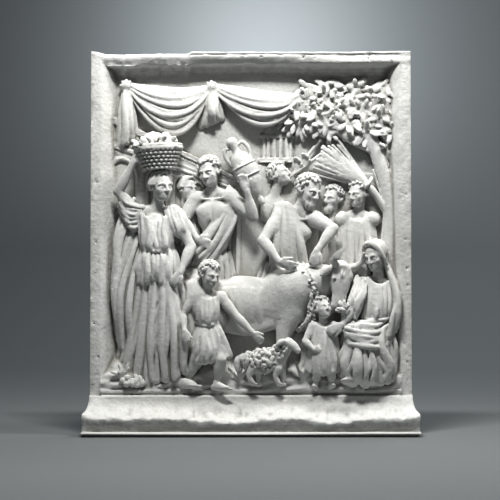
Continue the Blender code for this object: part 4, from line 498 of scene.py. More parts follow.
def torso(clay, hips, shoulders, s, bare=True, female=False):
    """hips and shoulders are pairs of joints, the viewer's left one first."""
    lo, hi = mix(*hips, 0.5), mix(*shoulders, 0.5)
    up = unit(hi - lo)
    across = unit(unit(np.subtract(*shoulders[::-1])) + unit(np.subtract(*hips[::-1])))
    out = unit(np.cross(across, up))
    across = np.cross(up, out)
    axes = np.array([across, up, out])
    long = np.linalg.norm(hi - lo)
    wide = np.linalg.norm(np.subtract(*shoulders))

    def spot(x, t, o):
        return lo + up * long * t + across * x * s + out * o * s

    clay.egg(spot(0, 0.04, 0), (15.5 * s, 12.5 * s, 11.5 * s), axes, 3 * s)
    clay.egg(spot(0, 0.34, 0.3), (14.0 * s, 17.0 * s, 10.2 * s), axes, 4 * s)
    clay.egg(spot(0, 0.74, -0.4), (wide * 0.47, 19.0 * s, 12.4 * s), axes, 4 * s)
    for j, k in enumerate((-1, 1)):
        clay.cone(spot(2.5 * k, 1.10, -2.5), mix(spot(0, 1.02, -2), shoulders[j], 0.9), 5.4 * s, 5.6 * s,
            3 * s)
        clay.egg(shoulders[j], (7.8 * s,) * 3, blend=3 * s)
        if female:
            clay.egg(spot(7.2 * k, 0.70, 8.4), (6.6 * s, 6.6 * s, 5.8 * s), axes, 2.5 * s)
        elif bare:
            clay.egg(spot(7.8 * k, 0.80, 5.2), (9.8 * s, 7.6 * s, 5.8 * s), axes, 2.2 * s)
            for row in range(3):
                clay.egg(spot(3.4 * k, 0.53 - 0.13 * row, 7.2), (3.5 * s, 3.4 * s, 2.7 * s), axes, 1.9 * s)
            clay.cone(spot(3.0 * k, 0.64, 10.9), spot(12.0 * k, 0.42, 6.0), 0.7 * s, 0.7 * s, 1.8 * s, True)
            collar = [spot(2.2 * k, 0.985, 6.6),
                mix(spot(2.2 * k, 1.0, 6.0), shoulders[j] + out * 5.6 * s, 0.6),
                shoulders[j] + out * 6.2 * s]
            clay.roll(collar, v(1.2, 1.0, 0.9) * s, 1.6 * s, count=8)
    if bare:
        clay.cone(spot(0, 0.88, 11.9), spot(0, 0.1, 11.0), 0.7 * s, 0.6 * s, 1.8 * s, True)
        clay.egg(spot(0, 0.20, 11.0), (1.0 * s,) * 3, axes, 0.6 * s, True)


def folds(clay, top, bottom, count, thin, thick, bow=(0, 0, 0), wander=0.8, blend=1.0, seed=0, back=True,
        steps=12, end=0.75):
    """Cloth falling from one edge to another in uneven rolls that sway and fork, over a backing."""
    rng = np.random.default_rng(seed)
    width = np.exp(rng.normal(0, 0.42, count))
    width *= count / width.sum()
    place = (np.cumsum(width) - width / 2) / width.sum()
    a, b = curve(top, place), curve(bottom, place)
    bow = v(*bow)
    sway = 0.45 * thick * rng.uniform(0.6, 1.4)
    if back:
        for one, two in zip(along(top, count), along(bottom, count)):
            mid = mix(one, two, 0.5) + bow
            clay.roll([one - v(0, 0, thin), mid - v(0, 0, thick * 0.9), two - v(0, 0, thick * 0.9)],
                      [thin * 1.5, thick * 1.25, thick * 1.3], 1.5, count=6)
    lanes = []
    for i in range(count):
        r = thick * (0.35 + 0.65 * min(width[i], 1.6))
        lift = v(0, 0, (rng.uniform(-0.3, 0.6) + 0.5 * (min(width[i], 1.6) - 1)) * thick * 0.7)
        lean = v(sway * sin(0.7 * i + seed), 0, 0)
        one = mix(a[i], b[i], 0.33) + bow * 0.85 + rng.normal(0, wander, 3) * 0.6 + lean
        two = mix(a[i], b[i], 0.70) + bow * 0.80 + rng.normal(0, wander, 3) - lean
        low = b[i] + lift + v(0, rng.normal(0, wander), 0)
        lanes.append((one + lift * 0.5, two + lift, low, r))
        clay.roll([a[i], one + lift * 0.5, two + lift, low],
            [thin * (0.6 + 0.4 * width[i]), 0.4 * thin + 0.55 * r, r, r * end], blend, count=steps)
    for i in range(count - 1):
        if rng.uniform() < 0.4:
            near, far = (lanes[i], lanes[i + 1]) if rng.uniform() < 0.5 else (lanes[i + 1], lanes[i])
            raised = v(0, 0, 0.25 * thick)
            clay.roll([near[0], mix(near[1], far[1], 0.5) + raised, mix(far[1], far[2], 0.6) + raised],
                [0.35 * near[3], 0.6 * far[3], 0.5 * far[3]], blend, count=steps)


def amphora(clay, foot_at, mouth_at, s):
    """A two-handled jar, turned about the line from its foot to its mouth."""
    shape = [(0.0, 2.4), (0.06, 2.8), (0.10, 2.2), (0.20, 5.6), (0.38, 9.6), (0.55, 11.2), (0.68, 9.8),
        (0.76, 6.4), (0.82, 4.0), (0.90, 3.5), (0.95, 4.2), (1.0, 5.2)]
    t = np.array([p[0] for p in shape])
    r = np.array([p[1] for p in shape]) * s
    fine = np.linspace(0, 1, 30)
    clay.rods(foot_at + (mouth_at - foot_at) * fine[:, None], np.interp(fine, t, r), 0.5, False)
    axis = unit(mouth_at - foot_at)
    side = unit(np.cross(axis, (0, 0, 1)))
    wide = 10.9
    for ring in (0.62, 0.45):
        where = mix(foot_at, mouth_at, ring)
        turns = [where + side * cos(a) * wide * s + np.cross(axis, side) * sin(a) * wide * s
            for a in np.linspace(0, 2 * pi, 17)]
        clay.roll(turns, [0.6 * s], 0.4, count=33)
    for k in (-1, 1):
        path = [mix(foot_at, mouth_at, t) + side * k * reach * s
            for t, reach in ((0.68, 9), (0.84, 11), (0.95, 8.5), (0.94, 3.5))]
        clay.roll(path, [1.5 * s], 0.5)


def basket(clay, at, low, high, tall, seed):
    """A woven basket: stacked plaits over a solid core, and fruit heaped in it."""
    s = at.size
    rows = max(4, int(tall / 2.9))
    for i in range(7):
        t = i / 6
        clay.egg(at.at(0, tall * t * 0.86, 0),
            ((low + (high - low) * t) * 0.93 * s, 3.2 * s, (low + (high - low) * t) * 0.93 * s),
            at.axes, 1.0)
    for i in range(rows):
        r = (low + (high - low) * i / (rows - 1)) * s
        count = int(2 * pi * r / (4.6 * s))
        for j in range(count):
            a = 2 * pi * (j + 0.5 * (i % 2)) / count
            p, q = (at.at(r / s * sin(a + k), tall * i / (rows - 1) + rise, r / s * cos(a + k))
                for k, rise in ((-2.2 / count, -0.5), (2.2 / count, 0.5)))
            clay.cone(p, q, 1.7 * s, 1.2 * s, 0.3 * s)
    for rise, thick in ((1.4, 2.0), (4.0, 1.5)):
        rim = [at.at(high * sin(a), tall + rise, high * cos(a))
            for a in np.linspace(0, 2 * pi, 25)]
        clay.roll(rim, [thick * s], 0.4, count=37)
    rng = np.random.default_rng(seed)
    for _ in range(60):
        a, q = rng.uniform(0, 2 * pi), sqrt(rng.uniform(0, 0.92))
        r = rng.uniform(3.0, 5.2) * s
        here = at.at(high * 0.86 * q * sin(a), tall + 3.0 + 12 * (1 - q * q),
            high * 0.86 * q * cos(a))
        clay.egg(here, (r, r * 0.95, r), blend=0.25)
    for _ in range(16):
        a = rng.uniform(0, 2 * pi)
        here = at.at(high * 0.8 * sin(a), tall + 6, high * 0.8 * abs(cos(a)))
        leaf(clay, here, (sin(a), rng.uniform(-0.5, 0.6), 0.3), 9 * s, 4.4 * s, 0.4)


def ox(clay, ground, s):
    """A garlanded ox in profile, walking to the viewer's right, its head turned a little out."""
    x0, u0, o0 = ground

    def p(x, up, out):
        return v(x0 + x * s, u0 + up * s, o0 + out * s)

    def egg(x, up, out, radii, blend=6, tilt=0):
        clay.egg(p(x, up, out), np.array(radii, float) * s, Place((0, 0, 0), tilt=tilt).axes, blend * s)

    def roll(points, radii, blend=3.0, count=None):
        clay.roll([p(*q) for q in points], [r * s for r in radii], blend * s, count=count)

    # far legs
    roll([(38, 76, -5), (44, 58, -4), (60, 44, -2)], [13, 10, 6.4], 3)
    roll([(60, 44, -2), (58, 26, -3), (52, 14, -4)], [6.4, 4.4, 4.4], 1.5)
    roll([(52, 14, -4), (53, 9, -3)], [4.6, 5.6], 1)
    roll([(-44, 84, -6), (-38, 60, -5), (-30, 42, -6)], [16, 12, 7], 3)
    roll([(-30, 42, -6), (-36, 34, -6), (-34, 12, -6)], [6, 5.4, 4], 1.5)
    roll([(-34, 12, -6), (-31, 5, -6)], [4.4, 5.6], 1)
    # trunk
    egg(-44, 92, 0, (25, 27, 18), 8, 8)
    egg(-4, 84, 0, (46, 28, 21), 8)
    egg(38, 90, 0, (26, 31, 19), 8, -6)
    egg(40, 114, -2, (20, 12, 10), 8, -12)
    egg(-56, 112, 0, (10, 8, 8), 6)
    for i in range(5):
        roll([(-22 + i * 9, 98, 16.8), (-25 + i * 9, 82, 19.6), (-23 + i * 9, 68, 16)], [0.6, 0.8, 0.4],
            5.0, 10)
    roll([(-62, 104, 12), (-48, 100, 17), (-34, 92, 18)], [3.0, 4.0, 2.4], 5, 10)
    roll([(-34, 68, 10), (-20, 61, 9), (4, 58, 9), (24, 63, 9)], [5, 6, 6, 5], 8, 12)
    # near legs
    roll([(-46, 88, 8), (-38, 70, 12), (-42, 58, 11), (-58, 44, 9)], [20, 16, 11, 6.6], 5, 16)
    roll([(-58, 44, 9), (-60, 34, 9), (-57, 15, 9)], [6.4, 4.8, 4.2], 1.5, 8)
    roll([(-57, 15, 9), (-53, 9, 10)], [4.8, 5.4], 1)
    egg(-52, 4, 10, (7.0, 4.2, 5.6), 1)
    egg(40, 84, 9, (17, 20, 12), 6, -20)
    roll([(44, 74, 11), (38, 58, 11), (36, 40, 10)], [13, 9, 6.6], 4, 12)
    egg(36, 38, 11, (5.6, 6.4, 6.0), 2)
    roll([(36, 36, 10), (35, 26, 10), (34, 14, 9)], [5.6, 4.4, 4.0], 1.5, 8)
    roll([(34, 14, 9), (37, 8, 10)], [4.6, 5.2], 1)
    egg(38, 4, 10, (7.0, 4.2, 5.6), 1)
    # neck, dewlap and chest
    roll([(48, 98, 2), (64, 104, 7), (78, 108, 13)], [27, 21, 15], 8, 12)
    for i in range(5):
        t = i / 4
        roll([(58 + 8 * t, 86 - 6 * t, 14), (66 + 12 * t, 74 - 3 * t, 15 - 2 * t),
            (80 + 5 * t, 86 - 2 * t, 15)], [2.0, 2.4, 1.4], 1.5)
    roll([(52, 82, 4), (66, 68, 5), (84, 80, 9)], [12, 6.5, 6], 6, 12)
    # head
    h = Place(p(90, 107, 20), turn=40, nod=20, tilt=-10, size=s)

    def k(x, up, out):
        return h.at(x, up, out)

    def face(x, up, out, radii, blend=2.0, carve=False):
        clay.egg(k(x, up, out), np.array(radii, float) * s, h.axes, blend * s, carve)

    clay.rods(along([k(0, 9, -2), k(0, 0, 5), k(0, -10, 11), k(0, -19, 15)], 12),
        np.interp(np.linspace(0, 1, 12), [0, 0.3, 0.65, 0.85, 1],
        np.array([11.5, 10.6, 7.4, 7.6, 6.8]) * s), 3 * s, False)
    face(0, 12, -1, (11.5, 6.0, 7.0), 3)
    face(0, -21, 14, (7.6, 4.6, 5.0), 1.5)
    for m in (-1, 1):
        face(8.8 * m, 3.5, 5.0, (3.2, 2.8, 3.0), 1.5)
        face(9.6 * m, 3.2, 6.6, (2.2, 2.0, 2.0), 0.6, True)
        face(9.2 * m, 3.0, 5.4, (1.9, 1.9, 2.0), 0.2)
        face(3.9 * m, -19.5, 19.6, (1.5, 1.7, 1.6), 0.6, True)
        clay.roll([k(11 * m, 10, -2), k(18 * m, 8, -2), k(23 * m, 3, 0)], v(2.0, 4.4, 1.4) * s,
            0.8 * s)
        clay.roll([k(8 * m, 15, -1), k(15 * m, 19, 1), k(18 * m, 26, 3), k(14 * m, 35, 5)],
            v(3.7, 3.2, 2.3, 1.0) * s, 1.0 * s, count=16)
    clay.cone(k(-5, -22.8, 17.5), k(5, -22.8, 17.5), 0.6 * s, 0.6 * s, 0.5 * s, True)
    rng = np.random.default_rng(5)
    for _ in range(26):
        a = rng.uniform(-1, 1)
        clay.roll([k(5 * a, 15 + rng.uniform(-1, 1), 4), k(7 * a, 10, 9.5),
            k(5.5 * a, rng.uniform(2, 6), 11.2)], v(1.5, 1.3, 0.6) * s, 0.4 * s)
    # garland round the neck
    ring = along([p(50, 128, 8), p(62, 110, 26), p(66, 88, 26), p(62, 66, 20), p(52, 58, 10)], 30)
    for i, q in enumerate(ring):
        for j in range(3):
            a = 2.4 * i + j * 2.1
            clay.egg(q + v(cos(a) * 3.2, sin(a) * 1.2, 1.6 * sin(a * 1.7)) * s,
                v(2.9, 1.9, 1.6) * s, Place((0, 0, 0), turn=40 * j, tilt=60 * i).axes, 0.3)
    # tail
    roll([(-66, 108, 2), (-74, 96, 3), (-75, 76, 4), (-71, 58, 6)], [4.0, 2.6, 2.0, 2.2], 1.5, 14)
    for i in range(7):
        roll([(-71, 60, 6), (-73 + i, 50, 5 + i % 3), (-70 + 1.4 * i - 4, 38 + i % 3, 6)],
            [1.8, 2.4, 0.8], 0.5)


def lamb(clay, ground, s):
    x0, u0, o0 = ground

    def p(x, up, out):
        return v(x0 + x * s, u0 + up * s, o0 + out * s)

    for x, kx in ((-12, -15), (12, 10), (-8, -6), (15, 17)):
        near = 5 if x in (-12, 12) else -2
        clay.roll([p(x, 17, near), p(kx, 10, near), p(x + 1, 2, near)], v(4.6, 2.6, 2.0) * s, 1.5 * s)
        clay.egg(p(x + 2, 1.6, near), v(2.8, 1.8, 2.3) * s, blend=0.5 * s)
    clay.egg(p(-2, 24, 0), v(19, 10.5, 10) * s, blend=3 * s)
    clay.roll([p(12, 27, 1), p(18, 34, 3), p(22, 40, 5)], v(8.5, 6.4, 5.0) * s, 3 * s)
    clay.roll([p(22, 41, 6), p(27, 38, 8), p(31, 34, 10)], v(5.0, 4.0, 2.6) * s, 1.5 * s)
    clay.egg(p(25, 41, 10.5), v(1.1, 1.0, 0.9) * s, blend=0.2)
    clay.roll([p(20, 43, 9), p(15, 42, 12), p(11, 39, 13)], v(1.6, 2.6, 1.0) * s, 0.5 * s)
    clay.roll([p(-20, 28, 0), p(-26, 24, 1), p(-26, 16, 2)], v(3.2, 3.2, 2.0) * s, 1 * s)
    rng = np.random.default_rng(3)
    for _ in range(170):
        a, b = rng.uniform(0, 2 * pi), rng.uniform(-1, 1)
        d = v(cos(a) * sqrt(1 - b * b), sin(a) * sqrt(1 - b * b), abs(b))
        q = p(-2, 24, 0) + d * v(19.2, 10.8, 10.4) * s
        clay.egg(q, (rng.uniform(1.7, 2.5) * s,) * 3, blend=0.3 * s)
    for _ in range(60):
        t = rng.uniform(0, 1)
        a = rng.uniform(-1.4, 1.4)
        q = mix(p(10, 27, 1), p(21, 42, 5), t) + v(-sin(a) * 0.8, sin(a) * 0.6,
            cos(a)) * (8.4 - 3.4 * t) * s
        clay.egg(q, (rng.uniform(1.5, 2.2) * s,) * 3, blend=0.3 * s)


def leaf(clay, q, way, long, wide, lean):
    way = unit(way)
    side = unit(np.cross(way, (lean * 0.8, 0.3, 1)))
    up = np.cross(way, side)
    clay.egg(q + way * long * 0.5, (long * 0.56, wide * 0.5, 1.3), np.array([way, side, up]), 0.5)


def tree(clay, seed=7):
    trunk = [v(150, 44, 6), v(146, 100, 8), v(138, 160, 8), v(142, 220, 7), v(128, 280, 8), v(108, 330, 7)]
    clay.roll(trunk, [14, 10.5, 9, 8, 7, 5], 3, count=40)
    clay.roll([v(138, 232, 6), v(146, 280, 6), v(142, 330, 6)], [6, 5, 3.5], 3, count=20)
    clay.roll([v(126, 286, 7), v(96, 300, 9), v(66, 322, 9), v(40, 332, 6)], [5.5, 4.5, 3.2, 1.8], 3,
        count=24)
    clay.roll([v(112, 322, 7), v(86, 340, 8), v(60, 352, 6)], [4, 3, 1.6], 2, count=16)
    rng = np.random.default_rng(seed)
    for k in range(-3, 4):
        path = [q + v(k * 2.6 + rng.uniform(-1, 1), 0,
            sqrt(max(0, 90 - (k * 2.6) ** 2)) * 0.95 * (1 - i * 0.07))
            for i, q in enumerate(along(trunk, 9))]
        clay.roll(path[: 7], [1.7, 1.2, 1.6, 0.9], 0.9, count=30)
    hubs = [(40, 332, 6), (54, 342, 8), (66, 326, 10), (76, 350, 8), (84, 334, 10), (96, 316, 11),
        (100, 346, 9), (114, 334, 10), (122, 352, 8), (132, 322, 9), (140, 344, 8), (142, 304, 8),
        (116, 306, 10), (62, 356, 6), (134, 362, 6), (106, 362, 6), (82, 364, 6), (48, 320, 7),
        (76, 312, 9), (136, 284, 7)]
    for x, up, out in hubs:
        hub = v(x, min(up, 300 + 0.74 * (up - 300)), out)
        clay.egg(hub - v(0, 0, 3), (13, 11, 6.5), blend=3)
        for _ in range(20):
            a = rng.uniform(0, 2 * pi)
            q = sqrt(rng.uniform(0, 1))
            at = hub + v(cos(a) * 12 * q, sin(a) * 10 * q, 4.5 * (1 - q) + rng.uniform(-1.5, 1.5))
            way = v(cos(a), sin(a) - 0.5, rng.uniform(-0.1, 0.5)) + rng.normal(0, 0.35, 3)
            leaf(clay, at, way, rng.uniform(8.0, 11.5), rng.uniform(4.4, 5.8), rng.uniform(-0.6, 0.6))


def woman(b, s=1.1):
    """A basket bearer striding to the right, seen from the front."""
    c = b.part((-150, 40, -4), (-38, 320, 50))
    hips = [v(-104, 158, 15), v(-84, 158, 17)]
    sh = [v(-116, 220, 15), v(-76, 220, 19)]
    torso(c, hips, sh, s * 0.94, bare=False, female=True)
    head_on(c, (-90, 249, 24), (32, 4, 3), s, v(-95, 225, 14), s * 0.9, "bun")
    leg(c, hips[0] + v(0, 0, -2), v(-110, 106, 16), v(-122, 62, 10), s * 0.92)
    leg(c, hips[1], v(-76, 110, 26), v(-72, 58, 20), s * 0.95)
    foot(c, v(-72, 57, 22), (0.85, 0, 0.5), s)
    foot(c, v(-124, 62, 12), (0.8, -0.45, 0.5), s, 0.2)
    # skirt
    folds(c, [(-108, 188, 16), (-104, 186, 24), (-94, 184, 29), (-84, 186, 26), (-80, 188, 18)],
          [(-134, 66, 4), (-124, 56, 14), (-106, 54, 22), (-90, 56, 26), (-72, 62, 30), (-56, 70, 22),
              (-50, 76, 10)], 12, 1.9, 4.4, bow=(2, 0, 4), wander=1.8, blend=0.9, seed=11)
    limb(c, hips[1] + v(0, -6, 6), v(-76, 112, 31), [8, 8.6, 8.2, 7.0, 6.2], 3.5)
    limb(c, v(-76, 112, 31), v(-71, 74, 27), [6.2, 5.6, 4.6, 3.4], 3.0)
    folds(c, [(-84, 168, 30), (-80, 140, 34), (-77, 120, 36)],
        [(-100, 120, 30), (-98, 96, 28), (-92, 76, 27)], 7, 1.2, 2.2, bow=(-2, -8, 1), blend=1.0,
        seed=12, back=False)
    # blouse and overfold
    folds(c, [(-112, 222, 20), (-104, 216, 27), (-95, 210, 28), (-86, 216, 29), (-79, 221, 24)],
          [(-108, 186, 22), (-101, 184, 29), (-94, 183, 32), (-87, 184, 31),
              (-80, 187, 24)], 9, 1.7, 2.3, bow=(0, -4, 3.0), wander=0.7, blend=1.2, seed=13)
    folds(c, [(-110, 186, 18), (-103, 184, 27), (-94, 182, 31), (-85, 184, 29), (-78, 187, 18)],
          [(-118, 160, 14), (-108, 152, 28), (-94, 156, 33), (-84, 150, 33),
              (-72, 160, 22)], 12, 1.6, 3.0, bow=(0, 2, 3), wander=0.8, blend=0.8, seed=14)
    c.roll([(-109, 187, 20), (-101, 184, 30), (-94, 183, 33.5), (-86, 184, 31), (-78, 188, 20)], [1.7],
        0.6, count=16)
    # raised arm to the basket
    reach(c, sh[0], v(-133, 244, 20), v(-117, 273, 28), (0.55, 0.8, 0.1),
        (0.8, -0.55, 0.2), s * 0.92, 0.3, palm=s * 0.95)
    folds(c, [(-108, 228, 20), (-115, 216, 22), (-112, 206, 20)],
        [(-129, 239, 22), (-131, 226, 18), (-123, 212, 14)], 6, 1.4, 2.1, bow=(-1, -4, 3), blend=0.8,
        seed=15)
    # lower arm holding the skirt
    reach(c, sh[1], v(-60, 188, 26), v(-70, 162, 37), (-0.6, -0.8, 0.0),
        (0.7, -0.5, 0.4), s * 0.92, 0.7, palm=s * 0.95)
    folds(c, [(-86, 226, 24), (-76, 228, 25), (-68, 222, 22)],
        [(-78, 202, 28), (-69, 198, 28), (-60, 202, 22)], 7, 1.3, 1.9, bow=(0, 0, 3), blend=0.8,
        seed=16)
    # mantle blown back: it swells out from the shoulder and falls behind her
    folds(c, [(-121, 234, 8), (-113, 228, 12), (-106, 222, 12), (-104, 206, 12)],
          [(-136, 122, 3), (-134, 104, 8), (-128, 88, 11), (-118, 82, 13)], 9, 1.7, 3.4,
          bow=(-9, 8, 7), wander=2.6, blend=0.9, seed=17, steps=16)
    c.roll([(-118, 236, 10), (-131, 214, 12), (-136, 184, 14), (-130, 158, 15), (-136, 132, 12),
        (-134, 112, 8)], [2.0, 3.0, 2.4, 3.0, 2.2], 0.8, count=40)
    basket(c, Place((-92, 267, 22), tilt=3, size=1.0), 15, 23, 18, seed=4)
    b.merge(c, 0.6)


def bearer(b, s=1.05):
    """A youth with a jar on his shoulder, behind the woman and the ox."""
    c = b.part((-84, 120, -4), (36, 340, 44))
    hips = [v(-46, 172, 6), v(-26, 172, 8)]
    sh = [v(-56, 236, 8), v(-20, 238, 12)]
    torso(c, hips, sh, s * 0.96, bare=True)
    head_on(c, (-42, 264, 14), (-28, 6, 10), s, v(-39, 241, 8), s * 0.9, seed=8)
    reach(c, sh[0], v(-68, 214, 14), v(-54, 196, 22), (0.8, -0.4, 0.2), (0.3, 0.9, 0.2), s)
    folds(c, [(-22, 248, 10), (-14, 240, 12), (-12, 230, 12)],
        [(-56, 186, 18), (-50, 176, 20), (-42, 168, 18)], 9, 1.6, 2.3, bow=(3, -3, 5), blend=0.9,
        seed=21)
    folds(c, [(-54, 183, 8), (-46, 180, 15), (-36, 178, 18), (-27, 180, 15), (-22, 183, 7)],
        [(-66, 126, 2), (-52, 124, 7), (-38, 124, 9), (-26, 126, 7), (-14, 130, 2)], 9, 1.5, 3.1,
        bow=(0, 0, 2), seed=22)
    amphora(c, v(11, 233, 18), v(-19, 292, 20), 1.12)
    reach(c, sh[1], v(2, 218, 24), v(-4, 243, 33), (-0.3, 0.95, 0.1), (0.95, 0.3, 0), s, 0.2)
    b.merge(c, 0.5)


def drover(b, s=1.08):
    """The ox's keeper, leaning over its back towards its head."""
    c = b.part((-10, 120, -4), (118, 310, 46))
    hips = [v(18, 158, 4), v(38, 158, 4)]
    sh = [v(30, 220, 11), v(64, 216, 15)]
    torso(c, hips, sh, s * 0.98, bare=True)
    head_on(c, (58, 245, 19), (50, 14, -8), s, v(49, 222, 10), s * 0.95, beard=True, seed=9)
    folds(c, [(26, 230, 12), (36, 231, 18), (44, 225, 19)],
        [(22, 172, 14), (38, 170, 20), (54, 172, 18)], 7, 1.7, 3.0, bow=(0, 0, 5), blend=0.9, seed=31)
    folds(c, [(14, 172, 8), (26, 168, 17), (38, 168, 19), (52, 172, 14)],
        [(2, 134, 4), (20, 134, 12), (40, 134, 14), (58, 134, 6)], 8, 1.8, 3.2, bow=(0, 0, 2), seed=32)
    reach(c, sh[0], v(12, 194, 24), v(28, 173, 33), (0.9, -0.35, 0.1), (0.3, 0.8, 0.3), s, 0.3)
    reach(c, sh[1], v(82, 206, 25), v(66, 184, 33), (-0.3, -0.95, 0.1), (0.9, -0.3, 0.3), s, 0.6)
    b.merge(c, 0.5)


def sheaf_bearer(b, s=0.96):
    """A reaper behind, with a sheaf on the shoulder."""
    c = b.part((62, 136, -4), (150, 330, 36))
    sh = [v(92, 216, 6), v(124, 216, 6)]
    torso(c, [v(98, 160, 2), v(116, 160, 2)], sh, s, bare=False)
    head_on(c, (108, 242, 9), (-42, 4, 4), s, v(109, 220, 4), s * 0.9, seed=14)
    folds(c, [(92, 222, 8), (104, 214, 13), (112, 214, 13), (122, 222, 8)],
        [(86, 150, 4), (98, 146, 11), (116, 146, 11), (130, 150, 4)], 10, 1.5, 2.6, bow=(0, 0, 3),
        seed=41)
    c.roll([(90, 188, 8), (100, 184, 14), (114, 184, 14), (126, 188, 8)], [1.6], 0.6, count=14)
    rng = np.random.default_rng(42)
    for _ in range(70):
        a = rng.uniform(-1, 1)
        lift = sqrt(1 - a * a)
        root = v(136, 226 + 7 * a, 6 + 6 * lift)
        tie = v(118, 250 + 4 * a, 10 + 5 * lift)
        tip = v(80 + rng.uniform(-8, 8) + 6 * a, 276 + 14 * a + rng.uniform(-3, 3), 6 + 6 * lift)
        c.roll([root, tie, tip], [1.2, 1.0, 0.9], 0.2, count=7)
        way = unit(tip - tie)
        for j in range(3):
            c.egg(tip + way * j * 2.2, (1.9, 1.3, 1.3),
                np.array([way, unit(np.cross(way, (0, 0, 1))), (0, 0, 1)]), 0.2)
    c.roll([(112, 244, 10), (117, 250, 17), (122, 257, 10)], [1.8], 0.4)
    b.merge(c, 0.5)


def mother(b, s=1.06):
    """A seated woman at the foot of the tree, turned to the child."""
    c = b.part((70, 40, -4), (158, 215, 54))
    hips = [v(118, 94, 12), v(134, 94, 16)]
    sh = [v(112, 150, 20), v(142, 148, 18)]
    c.egg((132, 68, 6), (26, 24, 18), blend=4)
    torso(c, hips, sh, s * 0.93, bare=False, female=True)
    head_on(c, (124, 179, 27), (-38, 10, 8), s, v(128, 155, 17), s * 0.9, "veil")
    leg(c, hips[1], v(101, 101, 38), v(99, 60, 34), s * 0.92)
    leg(c, hips[0], v(100, 108, 24), v(112, 62, 22), s * 0.9)
    foot(c, v(98, 57, 37), (-0.75, 0, 0.7), s)
    foot(c, v(114, 56, 30), (-0.3, 0, 0.95), s)
    folds(c, [(94, 106, 32), (100, 108, 42), (114, 106, 42), (130, 104, 36), (140, 104, 26)],
          [(90, 62, 28), (100, 56, 40), (116, 53, 40), (134, 55, 32),
              (146, 58, 18)], 10, 2.1, 3.9, bow=(0, 0, 2), wander=1.6, seed=51)
    folds(c, [(134, 124, 26), (137, 112, 29), (138, 100, 30), (138, 90, 28)],
        [(98, 112, 38), (94, 106, 43), (96, 98, 44), (99, 90, 42)], 6, 2.2, 2.8,
          bow=(2, -6, 7), wander=1.2, seed=52, steps=16)
    folds(c, [(117, 156, 27), (123, 150, 31), (131, 149, 31), (140, 154, 25)],
        [(112, 116, 28), (120, 114, 33), (130, 114, 33), (139, 116, 26)], 9, 1.3, 2.0, bow=(0, -4, 4),
        seed=53)
    c.roll([(111, 118, 28), (120, 115, 35), (131, 115, 35), (140, 118, 27)], [1.7], 0.6, count=14)
    # veil falling on the shoulders
    folds(c, [(113, 180, 19), (123, 192, 14), (134, 180, 18)],
        [(102, 146, 16), (124, 144, 8), (150, 132, 10)], 9, 1.7, 2.7, bow=(0, 0, 2), seed=54)
    folds(c, [(133, 174, 24), (139, 162, 25), (142, 150, 22)],
        [(149, 118, 20), (144, 106, 28), (137, 100, 34)], 6, 1.7, 2.6, bow=(4, 0, 5), seed=55, steps=16)
    reach(c, sh[0], v(103, 127, 35), v(90, 110, 42), (-0.85, -0.4, 0.1),
        (0.4, -0.85, 0.2), s * 0.9, 0.4, palm=s * 0.95)
    folds(c, [(106, 158, 24), (114, 151, 31), (111, 142, 30)],
        [(98, 133, 37), (105, 124, 43), (103, 118, 38)], 6, 1.5, 2.3, bow=(0, -2, 3), seed=56)
    b.merge(c, 0.6)


def child(b):
    """A child before the mother, holding leaves up to the ox."""
    c = b.part((48, 40, 0), (112, 150, 56))
    s = 0.66
    hips = [v(68, 78, 28), v(79, 78, 28)]
    sh = [v(62, 108, 31), v(82, 108, 31)]
    torso(c, hips, sh, s, bare=False)
    head_on(c, (71, 127, 36), (28, -14, 4), 0.80, v(72, 110, 30), s, seed=19)
    leg(c, hips[0], v(66, 64, 34), v(64, 50, 28), s * 0.9)
    leg(c, hips[1], v(80, 64, 36), v(80, 51, 31), s * 0.9)
    foot(c, v(64, 50, 29), (-0.4, 0, 0.9), s)
    foot(c, v(80, 51, 32), (0.5, 0, 0.85), s)
    folds(c, [(63, 110, 34), (72, 106, 39), (82, 110, 34)], [(56, 66, 30), (72, 62, 42), (90, 66, 32)],
        11, 1.2, 2.2, bow=(0, 0, 2), seed=61)
    reach(c, sh[0], v(54, 94, 36), v(62, 86, 42), (0.9, -0.2, 0.1), (0.2, 0.9, 0.1), s, 0.6)
    reach(c, sh[1], v(91, 106, 39), v(92, 119, 42), (0.1, 0.98, 0), (0.95, -0.1, 0.2), s, 0.6)
    rng = np.random.default_rng(62)
    for _ in range(14):
        leaf(c, v(92, 126, 42) + rng.normal(0, 1.6, 3),
            (rng.uniform(-1, 1), rng.uniform(0.1, 1), rng.uniform(-0.3, 0.6)), 8, 3.4, 0.3)
    b.merge(c, 0.5)


